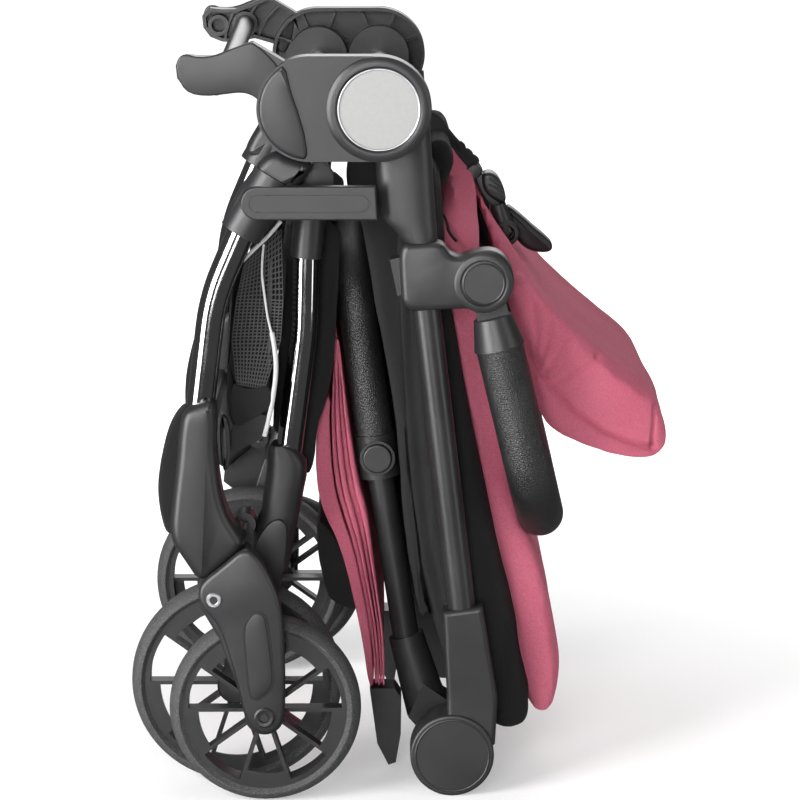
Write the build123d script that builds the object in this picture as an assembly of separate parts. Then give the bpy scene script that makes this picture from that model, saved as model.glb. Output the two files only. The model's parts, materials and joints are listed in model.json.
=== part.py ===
"""Folded compact stroller, standing upright as it is stored.

Millimetres, +Z up. -X is the front of the stroller, -Y its left side.
The origin is on the floor, in the middle of the folded part.
Places along X are given from the main hinge, and heights from the floor.
"""
import math
import os

from build123d import *

# Overall
FIT = 0.3
RUN = 0.05
PRESS = 0.02

# Main hinge and its housing
HINGE_Z = 545.0
LEG_HINGE_DX = -52.5
HOUSING_R = 40.0
HOUSING_OUT = 208.0
HOUSING_DEPTH = 18.0
HOUSING_IN = HOUSING_OUT - HOUSING_DEPTH
HOUSING_WALL = 3.0
RING_RISE = 4.0
RING_FILLET = 2.0
DISC_R = 31.0
DISC_T = 3.0
HUB_R = 12.0
RIB_T = 2.0
RIB_RING_R = 24.0
RIB_COUNT = 8
RIB_SET_BACK = 8.0
AXLE_R = 7.0

# Seat bracket, the hooked arm in front of the housing
BRACKET_SET_IN = 3.0
BRACKET_DEPTH = 17.0
BRACKET_OUT = HOUSING_OUT - BRACKET_SET_IN
BRACKET_IN = BRACKET_OUT - BRACKET_DEPTH
BRACKET_WALL = 3.0
BRACKET_TUBE_DX = -116.0
BRACKET_TUBE_RISE = 26.0
BRACKET_TUBE_Z = HINGE_Z + BRACKET_TUBE_RISE
BRACKET_BOSS_DX = -139.0
BRACKET_BOSS_RISE = 25.0
BRACKET_BOSS_Z = HINGE_Z + BRACKET_BOSS_RISE
BRACKET_BOSS_R = 9.0
SEAT_TUBE_R = 8.0

# Lower half of the push handle
TUBE_R = 11.0
TUBE_WALL = 1.5
SLEEVE_HUB_R = 26.0
SLEEVE_GAP = 0.5
SLEEVE_HUB_T = 18.5
SLEEVE_HUB_OUT = HOUSING_IN - SLEEVE_GAP
SLEEVE_IN = SLEEVE_HUB_OUT - SLEEVE_HUB_T
LOWER_SET_OUT = 13.0
LOWER_Y = SLEEVE_IN + LOWER_SET_OUT
SLEEVE_T = 25.0
SLEEVE_FILLET = 4.0
SLEEVE_LENGTH = 104.0
SLEEVE_END_Z = HINGE_Z - SLEEVE_LENGTH
LOWER_TOP_DX = 36.0
LOWER_TOP_Z = 390.0
LOWER_END_DX = 65.0
LOWER_END_Z = 145.0
TUBE_DEPTH = 24.0

# Fold joint at the foot of the lower half
FOLD_DX = 57.0
FOLD_R = 33.0
FOLD_SET_OUT = 1.0
FOLD_T = 28.0
FOLD_IN = SLEEVE_IN + FOLD_SET_OUT
FOLD_OUT = FOLD_IN + FOLD_T
FOLD_CAP_R = 29.0
FOLD_CAP_T = 3.0
FOLD_PIN_R = 8.0
FOLD_TOP_W = 31.0
FOLD_MID_W = 39.0
FOLD_MID_Z = 78.0
FOLD_FILLET = 4.0

# Upper half of the push handle, folded up beside the lower half
UPPER_SET_IN = 54.0
UPPER_Y = FOLD_IN - UPPER_SET_IN
UPPER_R = 10.5
GRIP_R = 15.0
SOCKET_HUB_R = 25.0
SOCKET_TOP_DX = 21.0
SOCKET_TOP_Z = 110.0
SOCKET_TOP_R = 14.0
SOCKET_LOW_R = 17.5
COLLAR_LOW_Z = 241.0
COLLAR_TOP_DX = -4.0
COLLAR_TOP_Z = 276.0
COLLAR_R = 16.0
COLLAR_LAP = 3.0
GRIP_TOP_DX = -23.0
GRIP_TOP_Z = 428.0
GRIP_BEND_R = 45.0
BUTTON_R = 11.5
BUTTON_T = 8.0
BUTTON_RISE = 3.5
BUTTON_TRAVEL = 3.0
BUTTON_STEM_R = 6.0
WELL_RISE = 1.0
WELL_WALL = 2.5

# Bumper bar and its clips
CLIP_HUB_T = 18.3
CLIP_COVER_T = 7.7
CLIP_IN = SLEEVE_IN
CLIP_COVER_IN = CLIP_IN + CLIP_HUB_T
CLIP_OUT = CLIP_COVER_IN + CLIP_COVER_T
BUMPER_DX = 80.0
BUMPER_Z = 410.0
BUMPER_HUB_R = 23.0
BUMPER_CAP_R = 15.5
BUMPER_CAP_T = 3.0
BUMPER_R = 18.5
BUMPER_TIP_DX = 128.0
BUMPER_TIP_Z = 213.0
BUMPER_COLLAR_DX = 93.0
BUMPER_COLLAR_Z = 358.0
BUMPER_COLLAR_R = 20.0
BUMPER_BEND_R = 62.0
LEVER_W = 8.0
LEVER_T = 14.0

# Front legs
SOCKET_R = 16.5
FRONT_Y = HOUSING_IN
FRONT_TOP_DX = -80.0
FRONT_TOP_DROP = 53.0
FRONT_TOP_Z = HINGE_Z - FRONT_TOP_DROP
FRONT_TUBE_DX = -106.0
FRONT_TUBE_DROP = 97.0
FRONT_TUBE_Z = HINGE_Z - FRONT_TUBE_DROP
FRONT_MID_DX = -127.5
FRONT_MID_Z = 398.0
FRONT_BEND_R = 160.0
FRONT_END_DX = -138.0
FRONT_END_Z = 314.0
LEG_SET_IN = 14.0
LEG_T = 37.0
LEG_IN = FRONT_Y - LEG_SET_IN
LEG_OUT = LEG_IN + LEG_T
LEG_FILLET = 5.0
FRONT_BAR_DX = -141.0
FRONT_BAR_Z = 262.0
FRONT_BAR_R = 7.0

# Side link that carries the rear leg
LINK_SET_OUT = 9.0
LINK_T = 8.0
LINK_IN = FRONT_Y + LINK_SET_OUT
LINK_OUT = LINK_IN + LINK_T
LINK_H = 26.0
LINK_LEFT_DX = -92.0
LINK_RIGHT_DX = -1.0
LINK_DROP = 72.0
LINK_Z = HINGE_Z - LINK_DROP
LINK_INSET = 6.5
LINK_INSET_DEPTH = 0.8
LINK_GROOVE_W = 1.0
REAR_PIVOT_DX = -52.0
REAR_PIN_R = 6.0

# Front castors
SWIVEL_DX = -120.5
SWIVEL_Z = 191.0
SWIVEL_LEAN = 41.0
SWIVEL_GAP = 0.6
SWIVEL_PIN_R = 6.0
SWIVEL_PIN_L = 20.0
FRONT_WHEEL_SET_OUT = 13.0
FRONT_WHEEL_Y = FRONT_Y + FRONT_WHEEL_SET_OUT
FRONT_AXLE_DX = -89.5
FRONT_WHEEL_R = 75.0
WHEEL_W = 26.0
ARM_GAP = 3.0
ARM_T = 11.0
ARM_IN = FRONT_WHEEL_Y + WHEEL_W / 2 + ARM_GAP
ARM_OUT = ARM_IN + ARM_T
ARM_FILLET = 3.0
ARM_END_R = 15.5
ARM_INSET_DEPTH = 1.5
FORK_SCREW_DX = -127.5
FORK_SCREW_Z = 169.0
FORK_SCREW_R = 6.0
WHEEL_AXLE_R = 5.0

# Rear legs
REAR_SET_IN = 33.5
REAR_Y = FRONT_Y - REAR_SET_IN
REAR_TUBE_R = 10.5
REAR_COLLAR_R = 12.6
REAR_COLLAR_L = 49.0
REAR_COLLAR_END_Z = LINK_Z - REAR_COLLAR_L
REAR_COLLAR_END_DX = -56.5
REAR_MID_DX = -58.0
REAR_MID_Z = 366.0
REAR_BEND_R = 300.0
REAR_END_DX = -71.0
REAR_END_Z = 268.0
REAR_AXLE_DX = -113.5
REAR_WHEEL_R = 83.5
REAR_PLATE_SET_OUT = 15.5
REAR_PLATE_T = 3.5
REAR_PLATE_IN = REAR_Y + REAR_PLATE_SET_OUT
REAR_PLATE_OUT = REAR_PLATE_IN + REAR_PLATE_T
REAR_PLATE_R = 15.0
PLATE_LAP = 1.0
BOOT_T = 28.5
BOOT_OUT = REAR_PLATE_IN
BOOT_IN = BOOT_OUT - BOOT_T
BOOT_FILLET = 3.5
PEDAL_DX = -106.0
PEDAL_Z = 213.0
PEDAL_HUB_R = 9.5
PEDAL_PIN_R = 4.0
PEDAL_SET_IN = 3.5
PEDAL_W = 21.0
PEDAL_IN = BOOT_IN + PEDAL_SET_IN
PEDAL_OUT = PEDAL_IN + PEDAL_W
PEDAL_LENGTH = 27.0
PEDAL_T = 9.0
CLIP_RING_R = 7.5
CLIP_RING_T = 2.0

# Wheels
TYRE_T = 11.0
HUB_WHEEL_R = 13.0
SPOKES = 10
SPOKE_T = 3.0
LIP_T = 3.0
LIP_H = 8.0
RIM_T = 4.0
RIM_W = 20.0
SPOKE_W = 13.0
HUB_W = 24.0
SHOULDER = 7.0
WHEEL_SIDE_GAP = 2.0
WHEEL_TOP_GAP = 3.0

# Seat, backrest, canopy, basket and harness
SEAT_TIP_DX = 228.0
SEAT_SET_IN = 21.0
BACK_SET_IN = 13.0
CANOPY_SET_OUT = 18.0
SEAT_HALF_W = SLEEVE_IN - SEAT_SET_IN
BACK_HALF_W = SLEEVE_IN - BACK_SET_IN
CANOPY_HALF_W = UPPER_Y + CANOPY_SET_OUT
CLIP_HALF_T = 14.0
CLIP_SWEEP_R = 76.0
CLIP_TOP_Z = 68.0
BASKET_GAP = 0.3
BASKET_HALF_W = FRONT_Y - TUBE_R - BASKET_GAP
BASKET_WALL = 2.5
CROWN = 9.0
DRAW_IN = 14.0
STRAP_W = 25.0
STRAP_Y = -20.0

# Where the main hinge stands, so that the folded part is centred on the origin
HINGE_X = -(SEAT_TIP_DX + REAR_AXLE_DX - REAR_WHEEL_R) / 2
FOLD_Z = FOLD_R
GRIP_SLOPE = (COLLAR_TOP_DX - GRIP_TOP_DX) / (GRIP_TOP_Z - GRIP_R - COLLAR_TOP_Z)
COLLAR_LOW_DX = COLLAR_TOP_DX + GRIP_SLOPE * (COLLAR_TOP_Z - COLLAR_LOW_Z)
SWIVEL_DOWN = Vector(math.sin(math.radians(SWIVEL_LEAN)), 0, -math.cos(math.radians(SWIVEL_LEAN)))
BUMPER_DOWN = Vector(BUMPER_TIP_DX - BUMPER_COLLAR_DX, 0, BUMPER_TIP_Z - BUMPER_COLLAR_Z).normalized()


def world(dx, y, z):
    """A point given from the main hinge along X."""
    return Vector(HINGE_X + dx, y, z)


def prism(points, y0, y1):
    """A closed outline of (dx, z) points, extruded from y0 to y1."""
    face = Face(Wire.make_polygon([world(dx, y0, z) for dx, z in points], close=True))
    return Solid.extrude(face, Vector(0, y1 - y0, 0))


def round_y(dx, z, radius, y0, y1):
    """A cylinder along Y."""
    return Solid.make_cylinder(radius, y1 - y0, Plane(world(dx, y0, z), z_dir=(0, 1, 0)))


def rod(start, end, radius, end_radius=None):
    """A straight rod or cone between two points."""
    along = end - start
    plane = Plane(start, z_dir=along)
    if end_radius is None:
        return Solid.make_cylinder(radius, along.length, plane)
    return Solid.make_cone(radius, end_radius, along.length, plane)


def stadium(dx0, dx1, z, radius, y0, y1):
    """A plate with two round ends, level along X."""
    plate = prism([(dx0, z - radius), (dx1, z - radius), (dx1, z + radius), (dx0, z + radius)], y0, y1)
    return plate + round_y(dx0, z, radius, y0, y1) + round_y(dx1, z, radius, y0, y1)


def swept(points, radius, bend, wall=0.0):
    """A round bar or tube along straight runs joined by arcs."""
    path = FilletPolyline(*points, radius=bend) if len(points) > 2 else Line(*points)
    start = Plane(points[0], z_dir=points[1] - points[0])
    section = Circle(radius) - Circle(radius - wall) if wall else Circle(radius)
    return sweep(start * section, path=path)


def bow(end, corner, radius, bend):
    """A bar from side to side: a straight middle, two bends and two straight ends."""
    path = FilletPolyline(Vector(corner.X, 0, corner.Z), corner, end, radius=bend)
    half, arc, leg = path.edges()
    turn = half @ 1
    middle = rod(turn, Vector(turn.X, -turn.Y, turn.Z), radius)
    side = sweep(Plane(turn, z_dir=arc % 0) * Circle(radius), path=arc) + rod(leg @ 0, leg @ 1, radius)
    return middle + side + mirror(side, about=Plane.XZ)


def flank(shape, side):
    """The shape of the left side, or its mirror image for the right side."""
    return shape if side == "left" else mirror(shape, about=Plane.XZ)


def save(name, *solids):
    """Writes one node as a group of separate solids."""
    bodies = [solid for shape in solids for solid in shape.solids()]
    group = bodies[0] if len(bodies) == 1 else Compound(children=bodies)
    export_step(group, os.path.join("parts", name + ".step"))


def save_both(name, shape):
    """Writes the left node and its mirrored right one."""
    for side in ("left", "right"):
        save(name + "_" + side, flank(shape, side))


def save_pair(name, shape):
    """Writes the left solid and its mirror image as one node."""
    save(name, flank(shape, "left"), flank(shape, "right"))


def soft_prism(points, y0, y1, radius):
    """A prism whose two flat faces have rounded rims."""
    body = prism(points, y0, y1)
    rims = body.edges().group_by(Axis.Y)
    return fillet(rims[0] + rims[-1], radius)


def hinge_housing():
    """Open-backed cover over both hinges, with ribs and a raised ring."""
    outer = stadium(LEG_HINGE_DX, 0, HINGE_Z, HOUSING_R, -HOUSING_OUT, -HOUSING_IN)
    inner_r = HOUSING_R - HOUSING_WALL
    floor = HOUSING_OUT - HOUSING_WALL - 1
    cover = outer - stadium(LEG_HINGE_DX, 0, HINGE_Z, inner_r, -floor, -HOUSING_IN)
    ring = round_y(0, HINGE_Z, HOUSING_R, -HOUSING_OUT - RING_RISE, -HOUSING_OUT)
    ring_edges = ring.edges().group_by(Axis.Y)[0]
    ring = fillet(ring_edges, RING_FILLET)
    cover = cover + ring
    face = -HOUSING_OUT - RING_RISE
    cover = cover - round_y(0, HINGE_Z, DISC_R + PRESS, face, face + DISC_T)
    rib_top = -HOUSING_IN - RIB_SET_BACK
    for dx in (LEG_HINGE_DX, 0):
        ring_rib = round_y(dx, HINGE_Z, RIB_RING_R, -floor, rib_top)
        ring_rib = ring_rib - round_y(dx, HINGE_Z, RIB_RING_R - RIB_T, -floor, rib_top)
        cover = cover + ring_rib
        cover = cover + round_y(dx, HINGE_Z, HUB_R, -floor, -HOUSING_IN)
        for index in range(RIB_COUNT):
            angle = 360.0 / RIB_COUNT * (index + 0.5)
            spoke = Box(inner_r - HUB_R + 2, rib_top + floor, RIB_T)
            spoke = Pos((inner_r + HUB_R) / 2, 0, 0) * spoke
            spoke = Location(world(dx, (rib_top - floor) / 2, HINGE_Z)) * (Rot(0, angle, 0) * spoke)
            cover = cover + (spoke & outer)
    for dx in (LEG_HINGE_DX, 0):
        cover = cover - round_y(dx, HINGE_Z, AXLE_R + PRESS, -floor, -HOUSING_IN)
    return cover


def hinge_disc():
    """Bare round plate in the ring of the housing."""
    face = -HOUSING_OUT - RING_RISE
    return round_y(0, HINGE_Z, DISC_R, face, face + DISC_T)


def bracket_outline():
    """Side outline of the hooked seat bracket, less its round seat on the housing."""
    rises = [
        (-70, 35), (-95, 50), (-124, 39), (-136, 39), (-146, 40), (-153, 33),
        (-152, 23), (-146, 15), (-136, 11), (-122, 10), (-108, 14), (-84, 7),
    ]
    return [(dx, HINGE_Z + rise) for dx, rise in rises]


def seat_bracket():
    """Hooked arm with a ribbed, open inner side and two bosses."""
    outline = bracket_outline()
    body = prism(outline, -BRACKET_OUT, -BRACKET_IN)
    face = Face(Wire.make_polygon([world(dx, -BRACKET_OUT, z) for dx, z in outline], close=True))
    pocket_face = offset(face, -BRACKET_WALL)
    pocket = Solid.extrude(pocket_face.faces()[0], Vector(0, BRACKET_OUT - BRACKET_IN, 0))
    body = body - Pos(0, BRACKET_WALL, 0) * pocket
    ribs = None
    for radius in (54.0, 68.0, 82.0):
        hoop = round_y(LEG_HINGE_DX, HINGE_Z, radius + RIB_T / 2, -BRACKET_OUT, -BRACKET_IN - 3)
        hoop = hoop - round_y(LEG_HINGE_DX, HINGE_Z, radius - RIB_T / 2, -BRACKET_OUT, -BRACKET_IN - 3)
        ribs = hoop if ribs is None else ribs + hoop
    solid = prism(outline, -BRACKET_OUT, -BRACKET_IN)
    body = body + (ribs & solid)
    body = body + round_y(BRACKET_TUBE_DX, BRACKET_TUBE_Z, BRACKET_BOSS_R + 2, -BRACKET_OUT, -BRACKET_IN)
    body = body + round_y(BRACKET_BOSS_DX, BRACKET_BOSS_Z, BRACKET_BOSS_R, -BRACKET_OUT, -BRACKET_IN)
    seat_depth = -BRACKET_OUT + BRACKET_WALL
    body = body - round_y(BRACKET_TUBE_DX, BRACKET_TUBE_Z, SEAT_TUBE_R + PRESS, seat_depth, -BRACKET_IN)
    body = body - round_y(BRACKET_BOSS_DX, BRACKET_BOSS_Z, BRACKET_BOSS_R - 3, seat_depth, -BRACKET_IN)
    return body - round_y(LEG_HINGE_DX, HINGE_Z, HOUSING_R + FIT, -BRACKET_OUT, -BRACKET_IN)


def cross_tube(dx, z, radius, half, wall=TUBE_WALL):
    """A level tube from side to side."""
    return round_y(dx, z, radius, -half, half) - round_y(dx, z, radius - wall, -half, half)


def lower_axis(z):
    """Place along X of the lower tube's axis at a height."""
    slope = (LOWER_END_DX - LOWER_TOP_DX) / (LOWER_END_Z - LOWER_TOP_Z)
    return LOWER_TOP_DX + slope * (z - LOWER_TOP_Z)


def lower_rod(z0, z1, radius):
    """A rod on the axis of the lower tube, between two heights."""
    return rod(world(lower_axis(z0), -LOWER_Y, z0), world(lower_axis(z1), -LOWER_Y, z1), radius)


def lower_tube():
    """Straight tube from the sleeve to the fold joint."""
    top = SLEEVE_END_Z + TUBE_DEPTH
    end = LOWER_END_Z - TUBE_DEPTH
    return lower_rod(end, top, TUBE_R) - lower_rod(end, top, TUBE_R - TUBE_WALL)


def handle_sleeve():
    """Sleeve that turns on the main axle and holds the lower tube."""
    outline = [
        (4, HINGE_Z - 26), (2, HINGE_Z - 45), (4, HINGE_Z - 83), (11, HINGE_Z - 91), (16, SLEEVE_END_Z),
        (46, SLEEVE_END_Z), (38, HINGE_Z - 25),
    ]
    y_out = -LOWER_Y - SLEEVE_T / 2
    blade = soft_prism(outline, y_out, y_out + SLEEVE_T, SLEEVE_FILLET)
    blade = blade - round_y(0, HINGE_Z, HOUSING_R + RING_RISE, y_out, -SLEEVE_HUB_OUT)
    hub = round_y(0, HINGE_Z, SLEEVE_HUB_R, -SLEEVE_HUB_OUT, -SLEEVE_IN)
    web = [(-16, HINGE_Z - 13), (5, HINGE_Z - 89), (40, HINGE_Z - 75), (28, HINGE_Z + 7)]
    neck = prism(web, -SLEEVE_HUB_OUT, -SLEEVE_IN - 1)
    body = blade + hub + neck
    body = body - round_y(0, HINGE_Z, AXLE_R + RUN, -SLEEVE_HUB_OUT, -SLEEVE_IN)
    return body - lower_rod(SLEEVE_END_Z - 5, SLEEVE_END_Z + TUBE_DEPTH, TUBE_R + PRESS)


def fold_hinge():
    """Tapered sleeve and round joint at the foot of the lower tube."""
    top = LOWER_END_Z
    at_top = lower_axis(top)
    outline = [
        (at_top - FOLD_TOP_W / 2, top + 4), (at_top + FOLD_TOP_W / 2, top + 8),
        (FOLD_DX + FOLD_MID_W * 0.92, FOLD_MID_Z), (FOLD_DX + FOLD_MID_W * 0.87, FOLD_Z + 8),
        (FOLD_DX + 20, FOLD_Z - 4), (FOLD_DX - 4, FOLD_Z + 10), (FOLD_DX - 4, FOLD_MID_Z),
    ]
    y_out = -FOLD_OUT + 3
    blade = soft_prism(outline, y_out, -FOLD_IN, FOLD_FILLET)
    disc = round_y(FOLD_DX, FOLD_Z, FOLD_R, -FOLD_OUT, -FOLD_IN)
    disc = fillet(disc.edges().group_by(Axis.Y)[0], RING_FILLET)
    body = blade + disc
    body = body - round_y(FOLD_DX, FOLD_Z, FOLD_CAP_R + PRESS, -FOLD_OUT, -FOLD_OUT + FOLD_CAP_T)
    body = body + round_y(FOLD_DX, FOLD_Z, FOLD_PIN_R, -FOLD_IN, -UPPER_Y)
    return body - lower_rod(top - TUBE_DEPTH, top + 12, TUBE_R + PRESS)


def fold_cap():
    """Flat round cover of the fold joint."""
    return round_y(FOLD_DX, FOLD_Z, FOLD_CAP_R, -FOLD_OUT, -FOLD_OUT + FOLD_CAP_T)


def upper_axis(z):
    """Place along X of the upper tube's axis at a height."""
    slope = (SOCKET_TOP_DX - COLLAR_LOW_DX) / (SOCKET_TOP_Z - COLLAR_LOW_Z)
    return SOCKET_TOP_DX + slope * (z - SOCKET_TOP_Z)


def upper_rod(z0, z1, radius):
    """A rod on the axis of the upper tube, between two heights."""
    return rod(world(upper_axis(z0), -UPPER_Y, z0), world(upper_axis(z1), -UPPER_Y, z1), radius)


def fold_socket():
    """Half of the fold joint that turns, with the socket of the upper tube."""
    hub = round_y(FOLD_DX, FOLD_Z, SOCKET_HUB_R, -FOLD_IN + FIT, -UPPER_Y + SOCKET_LOW_R)
    low = world(FOLD_DX - 18, -UPPER_Y, FOLD_Z + 14)
    top = world(SOCKET_TOP_DX, -UPPER_Y, SOCKET_TOP_Z)
    arm = rod(low, top, SOCKET_LOW_R, SOCKET_TOP_R)
    corners = [
        (FOLD_DX - 34, FOLD_Z + 12), (FOLD_DX - 6, FOLD_Z - 20),
        (FOLD_DX + 6, FOLD_Z + 20), (FOLD_DX - 22, FOLD_Z + 40),
    ]
    web = prism(corners, -UPPER_Y - SOCKET_LOW_R, -UPPER_Y + SOCKET_LOW_R)
    body = hub + arm + web
    body = body - round_y(FOLD_DX, FOLD_Z, FOLD_PIN_R + RUN, -FOLD_IN, -UPPER_Y)
    return body - upper_rod(SOCKET_TOP_Z - TUBE_DEPTH, SOCKET_TOP_Z + 4, UPPER_R + PRESS)


def upper_tube():
    """Tube between the fold joint and the collar of the grip."""
    z0 = SOCKET_TOP_Z - TUBE_DEPTH
    z1 = COLLAR_LOW_Z + COLLAR_LAP
    return upper_rod(z0, z1, UPPER_R) - upper_rod(z0, z1, UPPER_R - TUBE_WALL)


def button_place():
    """Middle of the collar, where the fold button sits."""
    return (COLLAR_LOW_DX + COLLAR_TOP_DX) / 2, (COLLAR_LOW_Z + COLLAR_TOP_Z) / 2


def handle_collar():
    """Collar under the grip, with the well of the round fold button."""
    low = world(COLLAR_LOW_DX, -UPPER_Y, COLLAR_LOW_Z)
    top = world(COLLAR_TOP_DX, -UPPER_Y, COLLAR_TOP_Z)
    body = rod(low, top, COLLAR_R)
    dx, z = button_place()
    face = -UPPER_Y - COLLAR_R - WELL_RISE
    body = body + round_y(dx, z, BUTTON_R + WELL_WALL, face, -UPPER_Y)
    body = body - round_y(dx, z, BUTTON_R + FIT, face, face + BUTTON_T + BUTTON_TRAVEL)
    return body - upper_rod(COLLAR_LOW_Z - 6, COLLAR_LOW_Z + COLLAR_LAP, UPPER_R + PRESS)


def handle_button():
    """Round push button that frees the handle."""
    dx, z = button_place()
    face = -UPPER_Y - COLLAR_R - WELL_RISE - BUTTON_RISE
    body = round_y(dx, z, BUTTON_R, face, face + BUTTON_T + BUTTON_RISE - FIT)
    return fillet(body.edges().group_by(Axis.Y)[0], 1.5)


def handle_grip():
    """Padded grip, one bar from side to side."""
    end = world(COLLAR_TOP_DX, -UPPER_Y, COLLAR_TOP_Z + FIT)
    corner = world(GRIP_TOP_DX, -UPPER_Y, GRIP_TOP_Z - GRIP_R)
    return bow(end, corner, GRIP_R, GRIP_BEND_R)


def bumper_mount():
    """Clip on the lower tube that carries the bumper bar's hinge."""
    block = [(15, SLEEVE_END_Z - 1), (45, SLEEVE_END_Z - 1), (51, 432), (51, 389), (22, 390)]
    body = prism(block, -CLIP_OUT, -CLIP_IN)
    arm = [(40, 434), (66, 431), (80, 433), (80, 387), (40, 389)]
    body = body + prism(arm, -CLIP_OUT, -CLIP_COVER_IN)
    face = -CLIP_OUT - BUMPER_CAP_T
    disc = round_y(BUMPER_DX, BUMPER_Z, BUMPER_HUB_R, face, -CLIP_COVER_IN)
    body = body + fillet(disc.edges().group_by(Axis.Y)[0], RING_FILLET)
    body = body - round_y(BUMPER_DX, BUMPER_Z, BUMPER_CAP_R + PRESS, face, face + BUMPER_CAP_T)
    body = body + round_y(BUMPER_DX, BUMPER_Z, BUTTON_STEM_R, -CLIP_COVER_IN, -CLIP_IN)
    return body - lower_rod(380, SLEEVE_END_Z + 10, TUBE_R + PRESS)


def bumper_cap():
    """Round cover of the bumper bar's hinge."""
    face = -CLIP_OUT - BUMPER_CAP_T
    return round_y(BUMPER_DX, BUMPER_Z, BUMPER_CAP_R, face, face + BUMPER_CAP_T)


def release_lever():
    """Push tab beside the clip that frees the bumper bar."""
    top = (16.5 - FIT, 429)
    low = (20.4 - FIT, 401)
    outline = [(top[0] - LEVER_W, 427), top, low, (low[0] - LEVER_W + 2, 399)]
    return prism(outline, -LOWER_Y - LEVER_T / 2, -LOWER_Y + LEVER_T / 2)


def bumper_collar():
    """Turning half of the bumper hinge and the collar on its bar."""
    hub_r = BUMPER_HUB_R - 0.5
    hub = round_y(BUMPER_DX, BUMPER_Z, hub_r, -CLIP_COVER_IN + FIT, -CLIP_IN)
    end = world(BUMPER_COLLAR_DX, -LOWER_Y, BUMPER_COLLAR_Z)
    neck = rod(end - BUMPER_DOWN * 24, end, BUMPER_COLLAR_R - 5, BUMPER_COLLAR_R)
    tongue = prism([(72, 400), (95, 404), (103, 372), (78, 366)], -CLIP_COVER_IN + FIT, -CLIP_IN)
    body = hub + neck + tongue
    return body - round_y(BUMPER_DX, BUMPER_Z, BUTTON_STEM_R + RUN, -CLIP_OUT, -CLIP_IN)


def bumper_bar():
    """Padded bar, one bow from side to side."""
    end = world(BUMPER_COLLAR_DX, -LOWER_Y, BUMPER_COLLAR_Z) + BUMPER_DOWN * FIT
    return bow(end, world(BUMPER_TIP_DX, -LOWER_Y, BUMPER_TIP_Z), BUMPER_R, BUMPER_BEND_R)


def front_points():
    """Corner points of the front tube's axis."""
    return [
        world(FRONT_TUBE_DX, -FRONT_Y, FRONT_TUBE_Z),
        world(FRONT_MID_DX, -FRONT_Y, FRONT_MID_Z),
        world(FRONT_END_DX, -FRONT_Y, FRONT_END_Z),
    ]


def front_tube():
    """Gently bent tube of the front leg."""
    top, middle, end = front_points()
    top = top + (top - middle).normalized() * TUBE_DEPTH / 2
    end = end + (end - middle).normalized() * TUBE_DEPTH / 2
    return swept([top, middle, end], TUBE_R, FRONT_BEND_R, TUBE_WALL)


def front_socket():
    """Socket that turns on the leg axle and holds the front tube."""
    top, middle, end = front_points()
    start = world(FRONT_TOP_DX, -FRONT_Y, FRONT_TOP_Z)
    barrel = rod(start, top, SOCKET_R)
    hub = round_y(LEG_HINGE_DX, HINGE_Z, SOCKET_HUB_R, -SLEEVE_HUB_OUT, -SLEEVE_IN)
    web = [(-74, HINGE_Z - 9), (-96, HINGE_Z - 75), (-70, HINGE_Z - 57), (-34, HINGE_Z - 17)]
    body = barrel + hub + prism(web, -SLEEVE_HUB_OUT, -SLEEVE_IN - 3)
    body = body - round_y(LEG_HINGE_DX, HINGE_Z, HOUSING_R + FIT, -HOUSING_OUT, -SLEEVE_HUB_OUT)
    body = body - round_y(LEG_HINGE_DX, HINGE_Z, AXLE_R + RUN, -SLEEVE_HUB_OUT, -SLEEVE_IN)
    into = (top - middle).normalized()
    return body - rod(top - into * TUBE_DEPTH, top + into * TUBE_DEPTH / 2, TUBE_R + PRESS)


def swivel_point():
    """Where the castor's turning axis leaves the leg."""
    return world(SWIVEL_DX, -FRONT_WHEEL_Y, SWIVEL_Z)


def front_leg():
    """Moulded foot of the front leg, cut square to the castor's axis."""
    outline = [
        (-151, 309), (-127, 320), (-124, 271), (-121, 243), (-117, 226), (-102, 208),
        (-139, 175), (-164, 209), (-172, 236), (-172, 260), (-163, 292),
    ]
    body = soft_prism(outline, -LEG_OUT, -LEG_IN, LEG_FILLET)
    top, middle, end = front_points()
    into = (end - middle).normalized()
    body = body - rod(end - into * TUBE_DEPTH, end + into * TUBE_DEPTH / 2, TUBE_R + PRESS)
    above = Plane(swivel_point(), z_dir=-SWIVEL_DOWN)
    body = body & Solid.make_cylinder(150, 200, above)
    body = body - round_y(FRONT_BAR_DX, FRONT_BAR_Z, FRONT_BAR_R + PRESS, -LEG_IN - 10, -LEG_IN)
    return body - Solid.make_cylinder(SWIVEL_PIN_R + RUN, SWIVEL_PIN_L + 1, above)


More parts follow.
